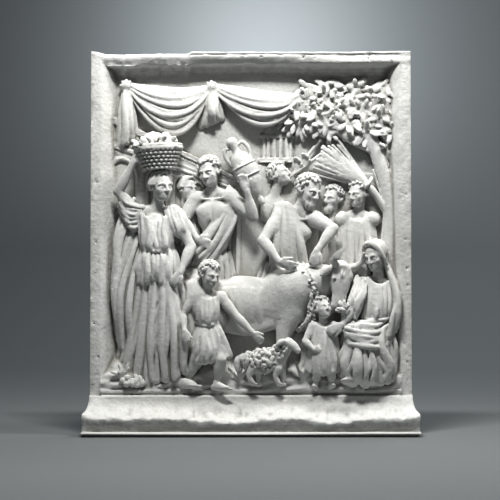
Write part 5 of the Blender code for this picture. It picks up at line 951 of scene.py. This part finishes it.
def boy(b):
    """A boy in a short tunic leading the lamb."""
    c = b.part((-74, 40, 0), (20, 180, 54))
    s = 0.80
    hips = [v(-50, 100, 26), v(-36, 100, 28)]
    sh = [v(-56, 138, 29), v(-30, 137, 32)]
    torso(c, hips, sh, s, bare=False)
    head_on(c, (-41, 160, 36), (38, 12, -6), 0.92, v(-43, 140, 30), s, seed=29)
    leg(c, hips[0], v(-56, 76, 28), v(-62, 54, 20), s)
    leg(c, hips[1], v(-30, 76, 38), v(-34, 53, 30), s)
    foot(c, v(-62, 55, 22), (0.75, -0.2, 0.6), s, 0.1)
    foot(c, v(-34, 52, 32), (0.8, 0, 0.6), s)
    folds(c, [(-52, 112, 30), (-44, 110, 37), (-34, 112, 35)],
        [(-62, 80, 24), (-48, 74, 40), (-22, 80, 36)], 10, 1.6, 3.0, bow=(0, 0, 3), wander=1.0, seed=71)
    folds(c, [(-54, 140, 33), (-43, 134, 39), (-32, 139, 36)],
        [(-53, 112, 32), (-44, 110, 39), (-34, 112, 36)], 9, 1.1, 1.7, bow=(0, -3, 3), seed=72)
    c.roll([(-55, 112, 30), (-44, 109, 40), (-33, 112, 36)], [1.5], 0.5)
    reach(c, sh[1], v(-14, 118, 36), v(2, 102, 38), (0.7, -0.7, 0), (0.6, 0.6, 0.2), s, 0.4)
    reach(c, sh[0], v(-68, 120, 30), v(-66, 104, 40), (0.2, -0.9, 0.2), (0.9, 0.1, 0.2), s, 0.6)
    b.merge(c, 0.5)


def beasts(b):
    c = b.part((-90, 40, -4), (140, 250, 50))
    ox(c, (-4, 47, 9), 1.0)
    b.merge(c, 1.0)
    c = b.part((-30, 40, 0), (70, 110, 54))
    lamb(c, (14, 49, 31), 1.05)
    b.merge(c, 0.5)


def bystanders(b):
    """Heads in low relief between the nearer figures: a girl, and a boy who plays two pipes."""
    c = b.part((-84, 190, -4), (-44, 290, 30))
    head_on(c, (-64, 247, 4), (40, -4, -4), 0.9, v(-66, 224, 0), 0.9, "bun", seed=81)
    folds(c, [(-76, 222, 4), (-66, 218, 8), (-56, 222, 4)],
        [(-80, 196, 4), (-66, 192, 8), (-52, 196, 4)], 6, 1.4, 2.2, seed=82)
    b.merge(c, 0.5)
    c = b.part((10, 168, -4), (100, 320, 30))
    at = head_on(c, (29, 262, 5), (62, -16, 6), 0.9, v(24, 240, 0), 0.9, seed=83)
    c.egg((22, 226, 0), (16, 16, 8), blend=3)
    for tip in (v(70, 296, 7), v(74, 284, 9)):
        c.roll([at.at(0, -8, 12), tip], [1.0, 1.5], 0.3, count=6)
        c.egg(tip, (2.2, 2.2, 2.2), blend=0.3)
    head_on(c, (83, 238, 3), (-42, 6, -6), 0.92, v(82, 214, 0), 0.9, beard=True, seed=84)
    c.egg((82, 200, 0), (13, 20, 7), blend=3)
    folds(c, [(74, 212, 5), (82, 208, 8), (90, 212, 5)], [(72, 176, 4), (82, 172, 8), (92, 176, 4)], 6,
        1.4, 2.2, seed=85)
    hand(c, v(44, 266, 8), (0.3, 0.9, 0.2), (0.9, -0.3, 0.2), 0.85, 0.6)
    hand(c, v(52, 270, 8), (0.3, 0.9, 0.2), (0.9, -0.3, 0.2), 0.85, 0.6)
    b.merge(c, 0.5)


def festoon(c, left, right, sag, count, thick, depth):
    """Cloth hung between two ties: rolls that sag more and more, gathered at both ends."""
    left, right = v(*left), v(*right)
    for i in range(count):
        t = i / (count - 1)
        path = []
        for u in np.linspace(0, 1, 9):
            drop = 4 * u * (1 - u) * sag * (0.18 + 0.82 * t)
            lean = 1.5 * sin(5 * u + 2 * i)
            swell = depth * sin(pi * u) * (0.55 + 0.45 * sin(pi * (0.2 + 0.7 * t)))
            path.append(mix(left, right, u + 0.05 * sin(pi * u)) + v(lean, -drop + lean * 0.6,
                swell + 1.4 * (i % 2)))
        c.roll(path, [1.3, thick * 0.8, thick, thick * 0.8, 1.3], 0.8, count=40)
        c.roll([q - v(0, -2, 3) for q in path], [1.5, thick * 1.2, thick * 1.3, thick * 1.2, 1.5], 1.5,
            count=24)


def hangings(b):
    """Two festoons of cloth under the top rail, with their loose ends and tassels."""
    c = b.part((-142, 250, -4), (66, 366, 34))
    festoon(c, (-126, 352, 5), (-40, 351, 6), 50, 10, 3.0, 15)
    festoon(c, (-40, 351, 6), (52, 342, 6), 34, 8, 2.9, 14)
    for x, up, long, wide, seed in ((-126, 350, 62, 9, 91), (-40, 349, 38, 10, 92)):
        folds(c, [(x - 2, up, 7), (x, up + 1, 9), (x + 3, up, 7)],
              [(x - wide, up - long, 4), (x, up - long * 0.9, 10),
                  (x + wide, up - long * 0.78, 5)], 5, 1.4, 2.9, bow=(0, 0, 3), wander=1.6, seed=seed)
        c.egg((x, up + 1, 9), (5.0, 5.0, 4.0), blend=0.6)
        for k in range(8):
            a = k * pi / 4
            c.egg((x + 4.6 * cos(a), up + 1 + 4.6 * sin(a), 9), (1.9, 1.9, 1.9), blend=0.3)
    b.merge(c, 0.5)


def smooth_step(low, high, x):
    t = np.clip((x - low) / (high - low), 0, 1)
    return t * t * (3 - 2 * t)


def ridge(low, high, soft, x):
    """One between low and high, falling off softly on both sides."""
    return smooth_step(low - soft, low + soft, x) * (1 - smooth_step(high - soft, high + soft, x))


def arcade(x, up):
    """A long wall with arches, in perspective: it grows smaller towards the right."""
    near, vanish, eye = -150.0, 76.0, 214.0
    k = np.clip((vanish - x) / (vanish - near), 0.05, 1)
    h = (up - eye) / k
    f = np.mod((1 / k - 1) * 4.6, 1.0) - 0.5
    q = np.sqrt((f / 0.31) ** 2 + (np.maximum(h - 50, 0) / 17) ** 2)
    wall = (2.2 + 1.6 * k) * (1 - smooth_step(111, 112.5, h)) * (1 - smooth_step(-16, -8, x))
    wall = wall * smooth_step(120, 150, up)
    opening = -2.6 * (1 - smooth_step(0.92, 1.04, q)) * (h < 70)
    ring = 0.9 * ridge(1.1, 1.28, 0.05, q) * (h > 46)
    pier = 0.8 * ridge(0.42, 0.6, 0.02, np.abs(f)) * (h < 76)
    bands = 1.5 * ridge(78, 83, 0.8, h) + 0.6 * ridge(87, 90, 0.8, h) + 2.2 * ridge(103, 112, 0.8, h)
    teeth = 0.9 * ridge(97, 101, 0.6, h) * (np.mod(f * 8, 1.0) > 0.45)
    bricks = -0.35 * smooth_step(0.6, 0.95, np.cos(h * 1.15)) * (h < 76) * (q > 1.3)
    shape = wall + (opening + ring + pier + bands + teeth + bricks) * (0.45 + 0.55 * k) * (wall > 1.5)
    return np.maximum(shape, 0)


def rotunda(x, up, middle=27.0, foot=276.0, s=0.82):
    """A small round temple far off: steps, columns, entablature and dome."""
    a, h = (x - middle) / s, (up - foot) / s
    round_ = np.sqrt(np.clip(1 - (a / 21) ** 2, 0, 1))
    drum = 3.2 * round_ * ridge(0, 30, 0.5, h)
    columns = sum(1.5 * np.sqrt(np.clip(1 - ((a - 18 * sin(t)) / 2.2) ** 2, 0, 1))
        for t in np.linspace(-1.15, 1.15, 6)) * ridge(3, 27, 0.4, h)
    belt = 4.6 * np.sqrt(np.clip(1 - (a / 23) ** 2, 0, 1)) * ridge(27, 32, 0.5, h)
    steps = 4.8 * np.sqrt(np.clip(1 - (a / 25) ** 2, 0, 1)) * ridge(-3, 3, 0.5, h)
    dome = 4.0 * np.sqrt(np.clip(1 - (a / 18) ** 2 - (np.maximum(h - 31, 0) / 14) ** 2, 0, 1)) * (h > 31)
    knob = 2.0 * np.sqrt(np.clip(1 - (a / 2.6) ** 2 - ((h - 47) / 3) ** 2, 0, 1))
    return np.maximum.reduce([drum + columns, belt, steps, dome, knob])


def hills(x, up):
    line = 262 + 7 * np.sin(x * 0.045 + 1) + 3 * np.sin(x * 0.13)
    far = 1.1 * smooth_step(line + 1.2, line - 1.2, up) * smooth_step(-10, 10, x)
    return far + 0.3 * np.sin(up * 0.22 + 1.5 * np.sin(x * 0.05)) * (up < line)


def ledge(x, up):
    """How far the ground stands out at each height: a step of broken rock."""
    edge = 66 + 3 * np.sin(x * 0.09 + 1) + 2 * np.sin(x * 0.23)
    t = smooth_step(edge + 14, edge - 14, up)
    blocks = np.sin(x * 0.16 + 1.7 * np.sin(up * 0.2)) * np.sin(up * 0.33 + 1.3 * np.sin(x * 0.11))
    layers = np.sin(up * 0.62 + 2.0 * np.sin(x * 0.05)) * np.sin(x * 0.07 + 2)
    return t * (22.5 + 1.3 * blocks + 0.8 * layers)


def ground(b):
    _, (x, up, out) = b.window(b.low, b.low + b.cell * b.shape)
    front = 1.5 + 0.8 * np.sin(x * 0.03 + 1) * np.sin(up * 0.025)
    front = front + np.maximum(hills(x, up), arcade(x, up))
    front = np.maximum(front, 1.5 + rotunda(x, up)) + ledge(x, up)
    b.d = np.minimum(b.d, ((out - front) * 0.85).astype(np.float32))


def foreground(b):
    """Stones, tufts of grass and fallen fruit along the front of the ground."""
    c = b.part((-142, 38, 0), (146, 84, 44))
    rng = np.random.default_rng(101)
    for _ in range(46):
        x, up = rng.uniform(-134, 138), rng.uniform(42, 50)
        r = rng.uniform(3, 8)
        tilt = Place((0, 0, 0), turn=rng.uniform(-40, 40), tilt=rng.uniform(-25, 25))
        c.box((x, up, 17 + rng.uniform(-2, 3)), (r, r * 0.5, r * 0.6), tilt.axes, 1.4, 1.2)
    for x in (-128, -64, -12, 52, 134):
        for k in range(9):
            lean = rng.uniform(-1, 1)
            c.roll([(x + k * 0.8 - 3, 50, 20), (x + lean * 5, 60, 25),
                (x + lean * 12, 66 + rng.uniform(-4, 5), 27)], [1.3, 1.1, 0.5], 0.4, count=8)
    for _ in range(26):
        a, q = rng.uniform(0, pi), sqrt(rng.uniform(0, 1))
        r = rng.uniform(2.4, 3.6)
        c.egg((-120 + 13 * q * cos(a), 50 + 9 * q * sin(a), 25 + 3 * (1 - q)), (r, r, r),
            blend=0.25)
    b.merge(c, 0.6)


def hold_feet_in(b, near=28.5, rise=1.4):
    """Keeps toes and hems on the ledge, apart from the foot that the boy sets over its edge."""
    part, (x, up, out) = b.window(b.low, b.low + (300, 24, 60))
    reach = near + 9 * np.exp(-(((x + 22) / 15) ** 4))
    front = (out - reach - rise * (up - 45)) * 0.58
    b.d[part] = -soft_min(-b.d[part], -front.astype(np.float32), 2.0)


def build(cell):
    """The whole carved scene, worked from the back to the front."""
    b = Clay((-150, 38, -4), (150, 370, 54), cell)
    ground(b)
    for layer in (foreground, hangings, tree, bystanders, sheaf_bearer, bearer, drover, beasts, mother,
            child, boy, woman):
        layer(b)
    hold_feet_in(b)
    return b



Y_GROUND = (PLINTH_OUT + LIP_STEP - SLAB) / 2


# Wear that the frame and the plinth show, in millimetres: along x, then up or down from the made line
CHIP_END = -62.0
EDGE_AT = [-161, -157, -145, -112, -74, -66, -62, -60, 100, 125, 150, 161]
EDGE_UP = [384.2, 383.9, 381.6, 381.8, 382.4, 381.9, 382.6, 384.0, 384.0, 384.6, 385.0, 385.0]
ARRIS_AT = [-169, -160, -150, -64, -56, -28, -12, 0, 12, 48, 60, 75, 90, 110, 134, 148, 169]
ARRIS_UP = [4.5, 2.4, 1.4, 1.2, -1.4, -2.0, -3.0, -1.4, 0.6, 1.7, -1.2, -3.4, -2.4, 0.0, 1.0, 0.2, 2.6]

# The rails: width of the flat and of the slope at the sides, then the moulding above, from the top edge down
SIDE_FLAT = 9.0
SIDE_SLOPE = 20.0
CROWN_DROP = [-2, 0.4, 2.0, 2.7, 3.6, 6.5, 9.4, 10.4, 11.2, 12.0, 13.6, 16.2, 19.4, 23.4, 28.0]
CROWN_SHADED = [15.6, 16.4, 16.4, 15.2, 16.4, 15.6, 13.8, 12.9, 13.2, 10.4, 7.0, 4.2, 2.1, 0.6, 0]
CROWN_LIT = [15.6, 16.4, 16.4, 15.2, 15.6, 16.0, 16.4, 16.3, 16.0, 15.0, 11.0, 6.4, 3.2, 0.9, 0]
CROWN_CHIPPED = [13.2, 14.2, 15.4, 16.0, 16.0, 15.3, 13.6, 12.9, 13.2, 10.4, 7.0, 4.2, 2.1, 0.6, 0]

# The lip at the foot: how far its lower edge is worn up and its face leans back, and the recess under it
LIP_RAISED = 0.5
LIP_LEAN = 0.8
FOOT_DEEPER = 2.5

# Kept free at both ends of the plinth, so that the surface stays inside the part's box
SPARE = 0.02

# How far the fillet's upper side slopes out, on its way down to the sweep
FILLET_SPLAY = 2.3

# Burst bubbles: how many, and where: across, from what height to what height, and how far out
PIT_COUNT = 52
PIT_PLACES = [((-160, -147), (50, 380), RAIL_OUT), ((147, 160), (50, 380), RAIL_OUT),
    ((-150, 150), (372, 381), RAIL_OUT), ((-164, 164), (4, 19), PLINTH_OUT)]

# How strongly the clay's edges are sharpened, and from which angle an edge is shaded sharp
SHARPEN = 1.15
SHARP_ANGLE = 62.0


def rumple(x, up, size, seed):
    """Soft noise between -1 and 1 over the front, in lumps about as wide as size."""
    rng = np.random.default_rng(seed)
    grid = rng.uniform(-1, 1, (256, 256))
    a, b = (x + 200) / size, (up + 20) / size
    i, j = np.floor(a).astype(int), np.floor(b).astype(int)
    s, t = a - i, b - j
    s, t = s * s * (3 - 2 * s), t * t * (3 - 2 * t)
    i, j, right, above = i % 256, j % 256, (i + 1) % 256, (j + 1) % 256
    low = grid[i, j] * (1 - s) + grid[right, j] * s
    high = grid[i, above] * (1 - s) + grid[right, above] * s
    return low * (1 - t) + high * t


def frame_front(x, up):
    """How far the rails stand out: soft slopes at the sides, and a worn moulding over a dark soffit above."""
    inset = PANEL_WIDTH / 2 - np.abs(x) + 0.9 * rumple(x * 0, up, 17, 1)
    t = np.clip((inset - SIDE_FLAT) / SIDE_SLOPE, 0, 1)
    side = RAIL_OUT * (0.5 + 0.5 * np.cos(pi * t))
    drop = top_edge(x) - up
    ragged = 0.35 * rumple(x, up * 0, 23, 2) + 0.3 * rumple(x, up, 6, 12)
    fresh = np.clip((x - 20) / 70, 0, 1)
    shaded = np.interp(drop + ragged, CROWN_DROP, CROWN_SHADED)
    whole = shaded * (1 - fresh) + np.interp(drop + ragged, CROWN_DROP, CROWN_LIT) * fresh
    chipped = np.interp(drop + 2 * ragged, CROWN_DROP, CROWN_CHIPPED)
    broken = 1 / (1 + np.exp((x - CHIP_END + 1.5 * rumple(x * 0, up, 3, 13)) / 0.8))
    crown = whole * (1 - broken) + chipped * broken
    gouged = 0.3 * rumple(x, up * 0.6, 5, 14) * np.clip((x - 120) / 15, 0, 1)
    grainy = 0.14 * rumple(x, up, 7, 4) + 0.12 * rumple(x, up, 3.2, 20) + 0.07 * rumple(x, up, 1.7, 21)
    return np.maximum(side, crown) + 0.25 * rumple(x, up, 31, 3) + grainy + gouged


def top_edge(x):
    """The upper edge: it dips at the left, where its fillet is broken off, and rises to the right corner."""
    worn = 0.22 * rumple(x, x * 0, 9, 5) + 0.25 * rumple(x, x * 0, 4, 15) * (x < CHIP_END)
    return np.minimum(np.interp(x, EDGE_AT, EDGE_UP) + worn, PANEL_HEIGHT - 0.05)


def plinth_shape(x, up):
    """Front and half width of the base at each height, its arris worn into a wave."""
    levels = np.array(plinth_levels())
    levels[:2, 2] -= FOOT_DEEPER
    levels[1:3, 0] += LIP_RAISED
    levels[3, 2] -= LIP_LEAN
    worn = np.interp(x, ARRIS_AT, ARRIS_UP) + 0.7 * rumple(x, up * 0, 9, 7)
    worn = worn + 1.0 * rumple(x, up, 5, 16) + 0.7 * rumple(x, up, 2.6, 22)
    near = np.clip((up - FOOT - LIP - 1) / 6, 0, 1) * np.clip((SWEEP_TOP - 6 - up) / 8, 0, 1)
    soft = 1.6 * np.clip((up - FOOT - LIP - 1) / 3, 0, 1)
    front = 0
    for step in (-1.0, -0.5, 0.0, 0.5, 1.0):
        front = front + 0.2 * np.interp(up - worn * near + step * soft, levels[:, 0], levels[:, 2])
    face = (up > FOOT + LIP + 0.5) * (up < SWEEP_TOP)
    streaks = 0.2 * rumple(x * 0.35, up, 15, 8) + 0.2 * rumple(x * 0.2, up * 3, 5, 9)
    front = front + (streaks + 0.12 * rumple(x, up, 2.5, 19)) * face
    reach = np.interp(up, levels[:, 0], levels[:, 1])
    return np.minimum(front, PLINTH_OUT + LIP_STEP - 0.05), reach


def cast():
    """The whole plaque as clay: the relief laid in its frame, on its plinth."""
    relief = build(CELL)
    b = Clay((-150 - 25 * CELL, 38 - 55 * CELL, -4 - 2 * CELL), (170, 388, 58), CELL)
    b.merge(relief, 0)
    part, (x, up, out) = b.window(b.low, b.low + b.cell * b.shape)
    real = out * RELIEF_DEPTH
    front = frame_front(x, up)
    b.d = soft_min(b.d, ((real - front) * 0.9).astype(np.float32), 0.8)
    inset = PANEL_WIDTH / 2 - 0.3 + 0.3 * rumple(x * 0, up, 19, 10) * np.sign(x) - np.abs(x)
    outline = np.maximum(-inset, up - top_edge(x))
    b.d = np.maximum(b.d, outline.astype(np.float32))
    base_front, base_half = plinth_shape(x, up)
    base = np.maximum(np.maximum(np.abs(x) - base_half, real - base_front), up - SWEEP_TOP - 2.0)
    b.d = soft_min(b.d, base.astype(np.float32), 2.0)
    beside = PANEL_WIDTH / 2 - RAIL_SIDE + 3 + 2 * rumple(x * 0, up, 9, 17) - np.abs(x)
    splay = FILLET_SPLAY * np.clip((SWEEP_TOP + FILLET + 0.8 - up) / 2.2, 0, 1)
    fascia = np.maximum(np.maximum((real - FASCIA_OUT - splay) * 0.75, up - FIELD_FOOT), -beside)
    b.d = soft_min(b.d, fascia.astype(np.float32), 2.0)
    level = up - SWEEP_TOP - FILLET / 2 + 0.3 * rumple(x, up * 0, 30, 18)
    stands = SWEEP_OUT - 0.4 - 3.0 * (1 - np.clip(beside / 9, 0, 1)) ** 2
    fillet = np.sqrt(np.maximum(np.abs(level) - 0.4, 0) ** 2 + np.maximum(real - stands, 0) ** 2) - 0.7
    b.d = soft_min(b.d, np.maximum(fillet, -beside).astype(np.float32), 1.8)
    b.d = np.maximum(b.d, (0.0 - up).astype(np.float32))
    return b


def pits(b):
    """Burst air bubbles of the casting, on the frame and the plinth."""
    rng = np.random.default_rng(120)
    for _ in range(PIT_COUNT):
        place = rng.integers(0, 4)
        spots = [(rng.uniform(*across), rng.uniform(*height), out) for across, height, out in PIT_PLACES]
        x, up, out = spots[place]
        r = rng.uniform(0.5, 1.0) ** 0.7 * 1.35
        b.egg((x, up, (out + 0.2) / RELIEF_DEPTH), (r, r, r / RELIEF_DEPTH), blend=0.3, carve=True)


def blurred(d, reach):
    """The distances averaged three times over a box of 2 * reach + 1 cells a side."""
    wide = 2 * reach + 1
    for axis in (0, 1, 2) * 3:
        a = np.moveaxis(d, axis, 0)
        a = np.concatenate([np.repeat(a[:1], reach + 1, 0), a, np.repeat(a[-1:], reach, 0)])
        total = np.cumsum(a, 0, dtype=np.float32)
        d = np.moveaxis((total[wide:] - total[:-wide]) / wide, 0, axis)
    return d


def sharpened(b):
    """Crisper clay in the field: grooves cut deeper and ridges raised, within a few cells."""
    near = np.clip(b.d, -4 * b.cell, 4 * b.cell)
    _, (x, up, out) = b.window(b.low, b.low + b.cell * b.shape)
    inside = np.clip((PANEL_WIDTH / 2 - SIDE_FLAT - np.abs(x)) / 6, 0, 1)
    inside = inside * np.clip((up - SWEEP_TOP) / 4, 0, 1)
    inside = inside * np.clip((PANEL_HEIGHT - RAIL_TOP - up) / 3, 0, 1)
    return near + SHARPEN * inside.astype(np.float32) * (near - blurred(near, 1))


def sampled(grid, points):
    """The grid's value at each point, given in cells."""
    i = np.clip(points.astype(int), 0, np.array(grid.shape) - 2)
    t = points - i
    value = 0
    for corner in range(8):
        step = np.array([corner & 1, corner >> 1 & 1, corner >> 2 & 1])
        weight = np.where(step, t, 1 - t).prod(1)
        value = value + weight * grid[tuple((i + step).T)]
    return value


def mesh_of(b):
    """The clay's surface as one closed mesh, with the slab's back moved to its real place."""
    b.d = np.pad(sharpened(b), 1, constant_values=b.cell)
    b.low = b.low - b.cell
    points, faces = surface_nets(b)
    back = points[:, 2] < b.low[2] + 1.6 * b.cell
    points[:, 2] *= RELIEF_DEPTH
    points[back, 2] = -SLAB
    low, high = np.array(CAD_BOX) / MM
    low, high = (low[0] + SPARE, low[2], Y_GROUND - high[1]), (high[0] - SPARE, high[2], Y_GROUND - low[1])
    points = np.clip(points, low, high)
    mesh = bpy.data.meshes.new("relief_plaque_cast")
    mesh.vertices.add(len(points))
    metres = np.stack([points[:, 0], Y_GROUND - points[:, 2], points[:, 1]], 1) * MM
    mesh.vertices.foreach_set("co", metres.astype(np.float32).ravel())
    mesh.loops.add(faces.size)
    mesh.loops.foreach_set("vertex_index", faces.ravel().astype(np.int32))
    mesh.polygons.add(len(faces))
    mesh.polygons.foreach_set("loop_start", np.arange(0, faces.size, 4, dtype=np.int32))
    mesh.update()
    mesh.validate()
    return mesh


def paint_shade_in_hollows(mesh, b):
    """Stores on each point how hollow its surroundings are, and where the plinth's face is, for the painted
    shade that darkens the colour there.
    """
    near = np.clip(b.d, -3, 3)
    hollow = blurred(near, 3)
    far = np.clip(b.d, -10, 10)
    deep = blurred(far, 8)
    co = np.empty(len(mesh.vertices) * 3, np.float32)
    mesh.vertices.foreach_get("co", co)
    co = co.reshape(-1, 3) / MM
    design = np.stack([co[:, 0], co[:, 2], (Y_GROUND - co[:, 1]) / RELIEF_DEPTH], 1)
    cells = (design - b.low) / b.cell
    # Painted shade: small creases and deep recesses get a higher value, which darkens their colour.
    depth = sampled(near, cells) - sampled(hollow, cells)
    cave = np.maximum(sampled(far, cells) - sampled(deep, cells), 0)
    # Painted shade on the plinth's face below its arris, darkening its colour.
    arris = FOOT + LIP + PLINTH_FACE + np.interp(design[:, 0], ARRIS_AT, ARRIS_UP)
    painted_face_shade = np.clip((arris - design[:, 1]) / 2.5, 0, 1) * np.clip((design[:, 1] - FOOT - LIP) / 1.0, 0, 1)
    value = np.clip(0.5 + depth / 3 + cave / 9 + 0.18 * painted_face_shade, 0, 1)
    mark = mesh.attributes.new("hollow", "FLOAT", "POINT")
    mark.data.foreach_set("value", value.astype(np.float32))


def thinned(mesh, count):
    """The mesh with at most count triangles, as an object."""
    obj = bpy.data.objects.new("relief_plaque_cast", mesh)
    bpy.context.scene.collection.objects.link(obj)
    thin = obj.modifiers.new("Decimate", "DECIMATE")
    thin.ratio = count / (2 * len(mesh.polygons))
    bpy.context.view_layer.update()
    graph = bpy.context.evaluated_depsgraph_get()
    done = bpy.data.meshes.new_from_object(obj.evaluated_get(graph))
    obj.modifiers.clear()
    obj.data = done
    done.shade_smooth()
    done.set_sharp_from_angle(angle=radians(SHARP_ANGLE))
    return obj


def node(tree, kind, **values):
    made = tree.nodes.new(kind)
    for key, value in values.items():
        if key in made.inputs:
            made.inputs[key].default_value = value
        else:
            setattr(made, key, value)
    return made


def noise(tree, place, scale, detail, roughness):
    made = node(tree, "ShaderNodeTexNoise", Scale=scale, Detail=detail, Roughness=roughness)
    tree.links.new(place, made.inputs["Vector"])
    return made.outputs["Fac"]


def ramp(tree, source, *stops):
    """Colours read off a source value, from one stop to the next."""
    made = node(tree, "ShaderNodeValToRGB")
    for element, (position, colour) in zip(made.color_ramp.elements, stops):
        element.position = position
        element.color = (*colour, 1)
    tree.links.new(source, made.inputs["Fac"])
    return made.outputs["Color"]


def multiplied(tree, one, two):
    made = node(tree, "ShaderNodeMix", data_type="RGBA", blend_type="MULTIPLY")
    made.inputs["Factor"].default_value = 1.0
    tree.links.new(one, made.inputs["A"])
    tree.links.new(two, made.inputs["B"])
    return made.outputs["Result"]


def bump(tree, height, strength, distance):
    made = node(tree, "ShaderNodeBump", Strength=strength, Distance=distance)
    tree.links.new(height, made.inputs["Height"])
    return made


def plaster():
    """White plaster: a chalky skin with fine grain, soft lumps and faint stains, and painted shade that
    darkens the hollows and the plinth's face.
    """
    material = bpy.data.materials.new("white_plaster")
    material.use_nodes = True
    tree = material.node_tree
    link = tree.links.new
    shader = tree.nodes["Principled BSDF"]
    shader.inputs["Roughness"].default_value = 0.72
    shader.inputs["Specular IOR Level"].default_value = 0.35
    place = node(tree, "ShaderNodeTexCoord").outputs["Object"]

    tone = ramp(tree, noise(tree, place, 9.0, 5.0, 0.6),
        (0.30, (0.68, 0.675, 0.65)), (0.62, (0.75, 0.75, 0.735)))
    shade = node(tree, "ShaderNodeMapRange",
        **{"From Min": 0.3, "From Max": 0.7, "To Min": 0.91, "To Max": 1.03})
    link(noise(tree, place, 420.0, 3.0, 0.7), shade.inputs["Value"])
    hollow = node(tree, "ShaderNodeAttribute", attribute_name="hollow").outputs["Fac"]
    # Painted shade: the colour is darkened where the hollow value is high, in creases, recesses and on the
    # plinth's face.
    painted_shade = ramp(tree, hollow, (0.56, (1, 1, 1)), (0.88, (0.58, 0.57, 0.55)))
    unshaded = multiplied(tree, tone, shade.outputs["Result"])
    link(multiplied(tree, unshaded, painted_shade), shader.inputs["Base Color"])

    grain = bump(tree, noise(tree, place, 900.0, 4.0, 0.65), 0.35, 0.0004)
    lumps = bump(tree, noise(tree, place, 260.0, 4.0, 0.6), 0.6, 0.0011)
    link(lumps.outputs["Normal"], grain.inputs["Normal"])
    link(grain.outputs["Normal"], shader.inputs["Normal"])
    return material


def stage_material(name, colour):
    material = bpy.data.materials.new(name)
    material.use_nodes = True
    shader = material.node_tree.nodes["Principled BSDF"]
    shader.inputs["Base Color"].default_value = (*colour, 1)
    shader.inputs["Roughness"].default_value = 0.8
    return material


def area_light(name, at, aim, size, power, colour=(1, 1, 1)):
    data = bpy.data.lights.new(name, "AREA")
    data.shape = "RECTANGLE"
    data.size, data.size_y = size
    data.energy = power
    data.color = colour
    obj = bpy.data.objects.new(name, data)
    obj.location = at
    obj.rotation_euler = (Vector(aim) - Vector(at)).to_track_quat("-Z", "Y").to_euler()
    bpy.context.scene.collection.objects.link(obj)
    return obj


def studio():
    """A pale floor that sweeps up into a backdrop, a soft light above and in front, and the camera."""
    bend, start, far, top = 1.3, 1.2, 2.5, 4.0
    rim = [(-4.0, 0.0), (-1.0, 0.0), (0.5, 0.0)]
    for i in range(25):
        a = i / 24 * pi / 2
        rim.append((start + bend * sin(a), bend * (1 - cos(a))))
    rim.append((far, top))
    points = [(x, y, z) for y, z in rim for x in (-4.0, 4.0)]
    faces = [(2 * i, 2 * i + 1, 2 * i + 3, 2 * i + 2) for i in range(len(rim) - 1)]
    mesh = bpy.data.meshes.new("floor_and_backdrop")
    mesh.from_pydata(points, [], faces)
    mesh.shade_smooth()
    sweep = bpy.data.objects.new("floor_and_backdrop", mesh)
    bpy.context.scene.collection.objects.link(sweep)
    mesh.materials.append(stage_material("pale_paper", (0.20, 0.212, 0.216)))

    bpy.context.scene.view_settings.view_transform = "Standard"
    bpy.context.scene.view_settings.look = "High Contrast"
    sky = bpy.data.worlds.new("studio")
    bpy.context.scene.world = sky
    sky.use_nodes = True
    sky.node_tree.nodes["Background"].inputs["Color"].default_value = (0.93, 0.97, 1.0, 1)
    sky.node_tree.nodes["Background"].inputs["Strength"].default_value = 0.07

    area_light("key", (-0.04, -0.34, 0.92), (-0.02, 0.0, 0.17), (0.20, 0.09), 5.9, (1, 1, 0.985))
    area_light("rim", (0.30, -0.11, 0.80), (0.10, -0.02, 0.05), (0.10, 0.07), 2.0, (1, 0.975, 0.95))
    area_light("glow", (0.045, 1.97, 0.93), (0.045, 2.5, 0.93), (0.3, 0.3), 4.3, (0.96, 0.98, 1))
    area_light("side", (0.9, 1.0, 1.7), (0.35, 2.1, 0.1), (1.4, 1.0), 8.8, (0.93, 0.97, 1))
    area_light("low", (0.25, 1.15, 1.15), (0.25, 1.55, 0.0), (1.8, 0.5), 3.9, (0.95, 0.98, 1))

    camera = bpy.data.cameras.new("camera")
    camera.sensor_width = 36
    camera.lens = 100.8
    obj = bpy.data.objects.new("camera", camera)
    obj.location = (-0.0078, -1.4032, 0.1355)
    obj.rotation_euler = (radians(92.01), 0, radians(-0.28))
    bpy.context.scene.collection.objects.link(obj)
    bpy.context.scene.camera = obj


studio()
clay = cast()
pits(clay)
plaque = thinned(mesh_of(clay), SURFACE_FACES)
paint_shade_in_hollows(plaque.data, clay)
plaque.data.materials.clear()
plaque.data.materials.append(plaster())
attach(plaque, "root")
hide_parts("relief_plaque")
